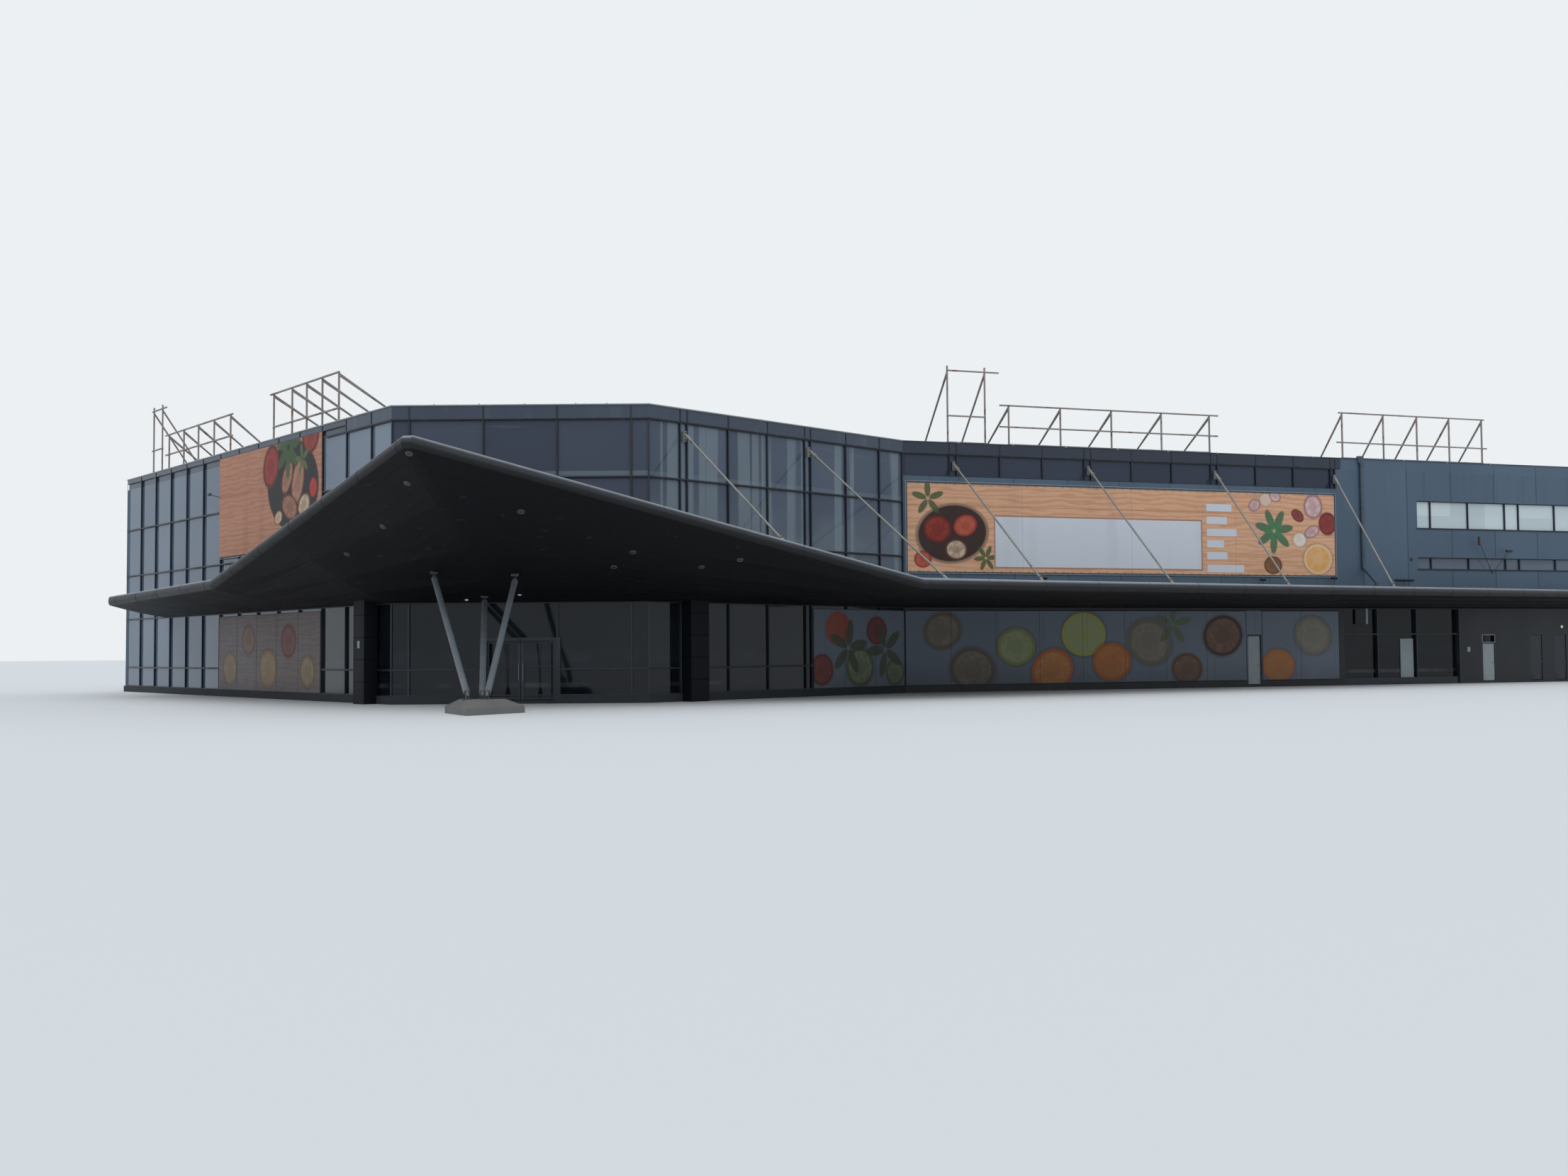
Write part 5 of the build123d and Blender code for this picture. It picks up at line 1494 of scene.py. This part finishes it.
# %% [markdown]
# ## Edges of banners and panels
# A banner is a sheet with eyelets, laced to a tube that runs round it. The cord goes
# from eyelet to tube and back, so it is one zigzag line. The panels at ground level have
# thin metal edges and a strip over each joint.

# %% Tubes, eyelets and lacing
TUBE_GAP, TUBE_HIGHEST, FACE = 0.0085, 1.2015, 0.003
EYELET_STEP, EYELET_INSET, FEET = 0.05, 0.008, 9
tubes, eyelets, lacing, tube_feet = Lines(), Lines(), Lines(), Lines()
for wall, (left, right, low, high) in BANNERS.items():
    span = right - left
    sides = left - TUBE_GAP, right + TUBE_GAP
    levels = (low - TUBE_GAP, min(high + TUBE_GAP, TUBE_HIGHEST))
    if wall == MAIN:
        ring = [(sides[one], levels[other]) for one, other in ((0, 0), (1, 0), (1, 1), (0, 1), (0, 0))]
        tubes.run([on_wall(wall, *spot, FACE) for spot in ring], outward[wall])
    else:
        tubes.level(wall, sides, levels[0], FACE)
    for edge_height, tube_height, inward in ((low, levels[0], 1), (high, levels[1], -1)):
        if abs(tube_height - edge_height) < 0.004:
            continue
        count = round(span / EYELET_STEP)
        inner = edge_height + inward * 0.006
        zigzag = []
        for number in range(count + 1):
            place = left + EYELET_INSET + (span - 2 * EYELET_INSET) * number / count
            eyelets.spot(wall, place, inner, FACE)
            zigzag.append(on_wall(wall, place, inner, FACE + 0.0006))
            if number < count:
                zigzag.append(on_wall(wall, place + span / count / 2, tube_height, 0.0064))
        lacing.run(zigzag, outward[wall])
    for number in range(FEET):
        place = left + span * (number + 0.5) / FEET
        tube_feet.run([on_wall(wall, place, levels[0], stand_out) for stand_out in (0.0, FACE)], UP)
grow("banner_tubes", tube_pattern, tubes, zinc, "sign_steel", radius=0.0021, bend=0.006)
grow("banner_tube_feet", bar_pattern, tube_feet, dark_fitting, "sign_steel",
     width=0.005, depth=0.006, edge=0.0008)
grow("banner_eyelets", ring_pattern, eyelets, zinc, "sign_steel", radius=0.0016, thick=0.0006)
grow("banner_lacing", tube_pattern, lacing, white_enamel, "white_banner", radius=0.0005, bend=0.0008)

# %% Edges and joints of the ground-floor panels
PANELS = ((LEFT, 1.467, 2.690), (RIGHT, 0.965, 1.603), (MAIN, 0.003, 1.945), (MAIN, 2.041, 2.530))
panel_edges, panel_joints = Lines(), Lines()
for wall, left, right in PANELS:
    for height in (0.0355, 0.3985):
        panel_edges.level(wall, (left, right), height, 0.0036)
    for place in (left + 0.0015, right - 0.0015):
        panel_edges.upright(wall, place, (0.034, 0.400), 0.0036)
    count = round((right - left) / PANEL_WIDTH)
    for number in range(1, count):
        panel_joints.upright(wall, left + (right - left) * number / count, (0.037, 0.397), 0.0032)
grow("panel_edges", bar_pattern, panel_edges, dark_enamel, "mural_print",
     width=0.003, depth=0.0016, edge=0.0004)
grow("panel_joints", bar_pattern, panel_joints, dark_enamel, "mural_print",
     width=0.0014, depth=0.0009, edge=0.0002)

# %% [markdown]
# ## Doors
# The sliding leaves get their panes, rails and pulls, and the portal gets a sensor. The
# hinged doors get a kick plate, narrow strips at the edges, a bent lever and knuckles at
# the hinges. What is fixed to a leaf rides on that leaf, so it moves along.

# %% Sliding entrance
PANE_INSET, LEAF_FRONT = 0.013, -0.0170
for side, left, right in (("left", 0.3857, 0.5290), ("right", 0.5310, 0.6743)):
    pane, strip, handle = Lines(), Lines(), Lines()
    for face in (-0.0206, -0.0184):
        pane.upright(FRONT, (left + right) / 2, (0.027, 0.2537), face)
    for height in (0.0335, 0.150):
        strip.level(FRONT, (left + PANE_INSET, right - PANE_INSET), height, LEAF_FRONT)
    leaf = "entrance_leaf_" + side
    grow("pane_" + side, bar_pattern, pane, front_glass, "facade_glass", leaf,
         width=right - left - 2 * PANE_INSET, depth=0.001, edge=0.0002)
    grow("leaf_rails_" + side, bar_pattern, strip, frame_finish, "dark_frame", leaf,
         width=0.006, depth=0.001, edge=0.0003)
    place = right - 0.008 if side == "left" else left + 0.008
    bow = ((0.095, LEAF_FRONT), (0.095, -0.0135), (0.165, -0.0135), (0.165, LEAF_FRONT))
    handle.run([on_wall(FRONT, place, *spot) for spot in bow], outward[FRONT])
    grow("pull_" + side, tube_pattern, handle, zinc, "dark_frame", leaf, radius=0.0012, bend=0.0015)
sensor = Lines()
sensor.level(FRONT, (0.5215, 0.5385), 0.2625, 0.0052)
grow("door_sensor", bar_pattern, sensor, dark_fitting, "dark_frame",
     width=0.006, depth=0.004, edge=0.0012)

# %% Hinged service doors
DOOR_FACE = -0.003
turning = [joint for joint in frame["joints"] if joint["type"] == "hinge"]
pins = {joint["child"]: Vector(joint["pos_m"]) for joint in turning}
doors = [(number, white_enamel, white_enamel, "white_door") for number in (1, 2)]
doors += [(number, dark_enamel, dark_fitting, "dark_door") for number in (3, 4)]
for number, painted, plate, slot in doors:
    body, name = f"service_door_{number}", f"door_{number}_"
    low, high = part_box(body)
    start, end = low.x - inner_corner.x, high.x - inner_corner.x
    kick, rails, lever, hinges = Lines(), Lines(), Lines(), Lines()
    kick.upright(MAIN, (start + end) / 2, (0.018, 0.046), DOOR_FACE + 0.0003)
    for place in (start + 0.003, end - 0.003):
        rails.upright(MAIN, place, (0.0155, high.z - 0.0015), DOOR_FACE + 0.0002)
    for height in (0.0165, high.z - 0.0025):
        rails.level(MAIN, (start + 0.0045, end - 0.0045), height, DOOR_FACE + 0.0002)
    for height in (0.045, 0.130, high.z - 0.035):
        pin = pins[body]
        hinges.run([Vector((pin.x, pin.y, height + half)) for half in (-0.006, 0.006)], outward[MAIN])
    bow = ((end - 0.008, -0.0005), (end - 0.008, 0.0035), (end - 0.020, 0.0035))
    lever.run([on_wall(MAIN, place, 0.1145, stand_out) for place, stand_out in bow], UP)
    grow(name + "kick_plate", bar_pattern, kick, plate, slot, body,
         width=end - start - 0.012, depth=0.0008, edge=0.0003)
    grow(name + "edges", bar_pattern, rails, painted, slot, body, width=0.003, depth=0.0008, edge=0.0002)
    grow(name + "lever", tube_pattern, lever, zinc, slot, body, radius=0.0009, bend=0.0012)
    grow(name + "hinges", tube_pattern, hinges, zinc, slot, body, radius=0.0010, bend=0.0)

# %% Light over the second door
transom_rim, transom_pane = Lines(), Lines()
LIGHT_SIDES, LIGHT_LEVELS = (3.4895, 3.5775), (0.2265, 0.2675)
for height in LIGHT_LEVELS:
    transom_rim.level(MAIN, LIGHT_SIDES, height, 0.0006)
for place in LIGHT_SIDES:
    transom_rim.upright(MAIN, place, LIGHT_LEVELS, 0.0006)
transom_pane.upright(MAIN, sum(LIGHT_SIDES) / 2, (0.2290, 0.2695), -0.0085)
grow("transom_rim", bar_pattern, transom_rim, white_enamel, "white_door",
     width=0.0035, depth=0.0012, edge=0.0004)
grow("transom_pane", bar_pattern, transom_pane, main_glass, "facade_glass",
     width=0.082, depth=0.0012, edge=0.0003)

# %% [markdown]
# ## Lamps, plates and the rain pipe
# The small things on the walls are placed by the picture: a line of sight meets the wall
# or the canopy, and the lamp sits where it does. A floodlight is an arm, a box with
# softened edges and a pane, turned to what it lights.

# %% Floodlights
heads, lamp_panes, arms = Lines(), Lines(), Lines()


def floodlight(foot, head, aim, across, size=0.015):
    """Adds a floodlight: its arm, its box along a level line and its pane."""
    arms.run([foot, head], across)
    heads.run([head - across * size, head + across * size], aim)
    front = head + aim * 0.0056
    reach = across * (size - 0.002)
    lamp_panes.run([front - reach, front + reach], aim)


aim = (UP * 0.8 - outward[MAIN] * 0.6).normalized()
for column, row, size in ((1469, 816, 0.016), (1777, 818, 0.016), (1877, 816, 0.018), (1976, 819, 0.060)):
    place, height = seen_on(MAIN, column, row)
    ends = [on_wall(MAIN, place, level, 0.030) for level in (0.505, height)]
    floodlight(*ends, aim, along[MAIN], size)
foot = on_wall(LEFT, *seen_on(LEFT, 311, 702))
aim = (along[LEFT] * 0.7 - outward[LEFT] * 0.7).normalized()
floodlight(foot, foot + outward[LEFT] * 0.055 + UP * 0.012, aim, along[LEFT], 0.014)
foot = on_wall(MAIN, *seen_on(MAIN, 2105, 809))
for column, row, across, size in ((2080, 764, UP, 0.024), (2122, 778, along[MAIN], 0.020)):
    head = on_wall(MAIN, *seen_on(MAIN, column, row), 0.035)
    floodlight(foot, head, outward[MAIN], across, size)
reach = canopy_tree.ray_cast(eye, sight(1001, 760))[3]
point = canopy_tree.find_nearest(eye + sight(1001, 731) * reach)[0]
floodlight(point - UP * 0.002, point + UP * 0.006, -outward[RIGHT], along[RIGHT], 0.007)
grow("lamp_heads", bar_pattern, heads, dark_fitting, "bracket_steel", width=0.014, depth=0.010, edge=0.0025)
grow("lamp_panes", bar_pattern, lamp_panes, lens, "bracket_steel", width=0.010, depth=0.0014, edge=0.0005)
grow("lamp_arms", tube_pattern, arms, dark_fitting, "bracket_steel", radius=0.0016, bend=0.0)

# %% Bulkhead lamps, plates and the vent
round_lamps, small_plates, vents = Lines(), Lines(), Lines()
round_lamps.spot(MAIN, *seen_on(MAIN, 2203, 884))
vents.spot(MAIN, *seen_on(MAIN, 1991, 789))
place, height = seen_on(MAIN, 2072, 916)
small_plates.upright(MAIN, place, (height - 0.013, height + 0.013), 0.0006)
small_plates.upright(LEFT, WALL_LENGTHS[LEFT] - 0.170, (0.232, 0.262), 0.0608)
grow("round_lamp_rims", ring_pattern, round_lamps, zinc, "bracket_steel", radius=0.009, thick=0.0014)
grow("round_lamp_glasses", dome_pattern, round_lamps, lit_lens, "white_door", radius=0.0085, high=0.005)
grow("wall_vents", dome_pattern, vents, dark_fitting, "slate_cladding", radius=0.010, high=0.004)
grow("bare_plates", bar_pattern, small_plates, white_enamel, "white_door",
     width=0.021, depth=0.0012, edge=0.0004)

# %% Rain pipe: hopper, clips and the outlet below the canopy
PIPE_PLACE, PIPE_RADIUS = 2.693, 0.010
hopper, clips, outlet = Lines(), Lines(), Lines()
hopper.upright(MAIN, PIPE_PLACE, (1.205, 1.243), 0.002)
for height in (0.70, 0.83, 0.96, 1.09, 1.19):
    clips.run([on_wall(MAIN, PIPE_PLACE, height, PIPE_RADIUS)], UP)
outlet.upright(MAIN, PIPE_PLACE, (0.412, 0.330), 0.024)
grow("rain_hopper", bar_pattern, hopper, pipe_paint, "slate_cladding",
     width=0.036, depth=0.022, edge=0.003)
grow("pipe_clips", ring_pattern, clips, pipe_paint, "slate_cladding",
     radius=PIPE_RADIUS + 0.0006, thick=0.0016)
grow("pipe_outlet", tube_pattern, outlet, white_enamel, "white_door", radius=0.007, bend=0.0)

# %% [markdown]
# ## Cladding and the sides that the picture doesn't show
# Thin cover strips stand over the joints of the cladding, and the ribbon windows get a
# sill. The end and the back repeat the plain wall and its windows, with a rim round each
# pane that is read from the panes themselves.

# %% Cover strips
strips = Lines()
WINDOW_LEVELS = ((0.110, 0.280), (0.620, 0.705), (0.850, 1.015))
CLADDING = (
    (MAIN, 2.70, 0.51, (3.05, 4.66), WINDOW_LEVELS[1:], 0.0002),
    (END, 0.0, 0.03, (0.40, 2.30), WINDOW_LEVELS, -0.0006),
    (BACK, 0.0, 0.03, (0.30, 8.25), WINDOW_LEVELS, -0.0006),
)
for wall, start, foot, (left, right), windows, stand_out in CLADDING:
    for number in range(1, int((WALL_LENGTHS[wall] - start) / SHEET_WIDTH) + 1):
        place = start + number * SHEET_WIDTH
        spans = [(foot, BAND_LOW + 0.05)]
        for levels in windows if left < place < right else ():
            spans = cut_out(spans, *levels)
        for span in spans:
            strips.upright(wall, place, span, stand_out)
grow("cladding_strips", bar_pattern, strips, main_sheet, "slate_cladding",
     width=0.0036, depth=0.0010, edge=0.0003)

# %% Sills and rims
sills, rims = Lines(), Lines()
for height in (0.629, 0.855):
    sills.level(MAIN, (3.060, 4.654), height, 0.0015)
grow("ribbon_sills", bar_pattern, sills, frame_finish, "dark_frame",
     width=0.0044, depth=0.005, edge=0.0008)


def loose_boxes(node):
    """Lowest and highest corners of a node's loose parts."""
    shell = welded(node)
    waiting = set(shell.verts)
    boxes = []
    while waiting:
        group, edge_of_group = set(), [waiting.pop()]
        while edge_of_group:
            vertex = edge_of_group.pop()
            group.add(vertex)
            near = {edge.other_vert(vertex) for edge in vertex.link_edges} & waiting
            waiting -= near
            edge_of_group += near
        low = Vector([min(vertex.co[axis] for vertex in group) for axis in range(3)])
        high = Vector([max(vertex.co[axis] for vertex in group) for axis in range(3)])
        boxes.append((low, high))
    shell.free()
    return sorted(boxes, key=lambda box: tuple(round(value, 4) for value in box[0]))


RIM_FACE, RIM_INSET = -0.0055, 0.004
for node, wall in (("end_glass", END), ("back_glass", BACK)):
    for low, high in loose_boxes(node):
        sides = sorted((corner - corners[wall]).dot(along[wall]) for corner in (low, high))
        for height in (low.z + RIM_INSET, high.z - RIM_INSET):
            rims.level(wall, sides, height, RIM_FACE)
        for place in (sides[0] + RIM_INSET, sides[1] - RIM_INSET, sum(sides) / 2):
            rims.upright(wall, place, (low.z, high.z), RIM_FACE)
grow("rear_window_rims", bar_pattern, rims, frame_finish, "dark_frame",
     width=0.008, depth=0.006, edge=0.0008)
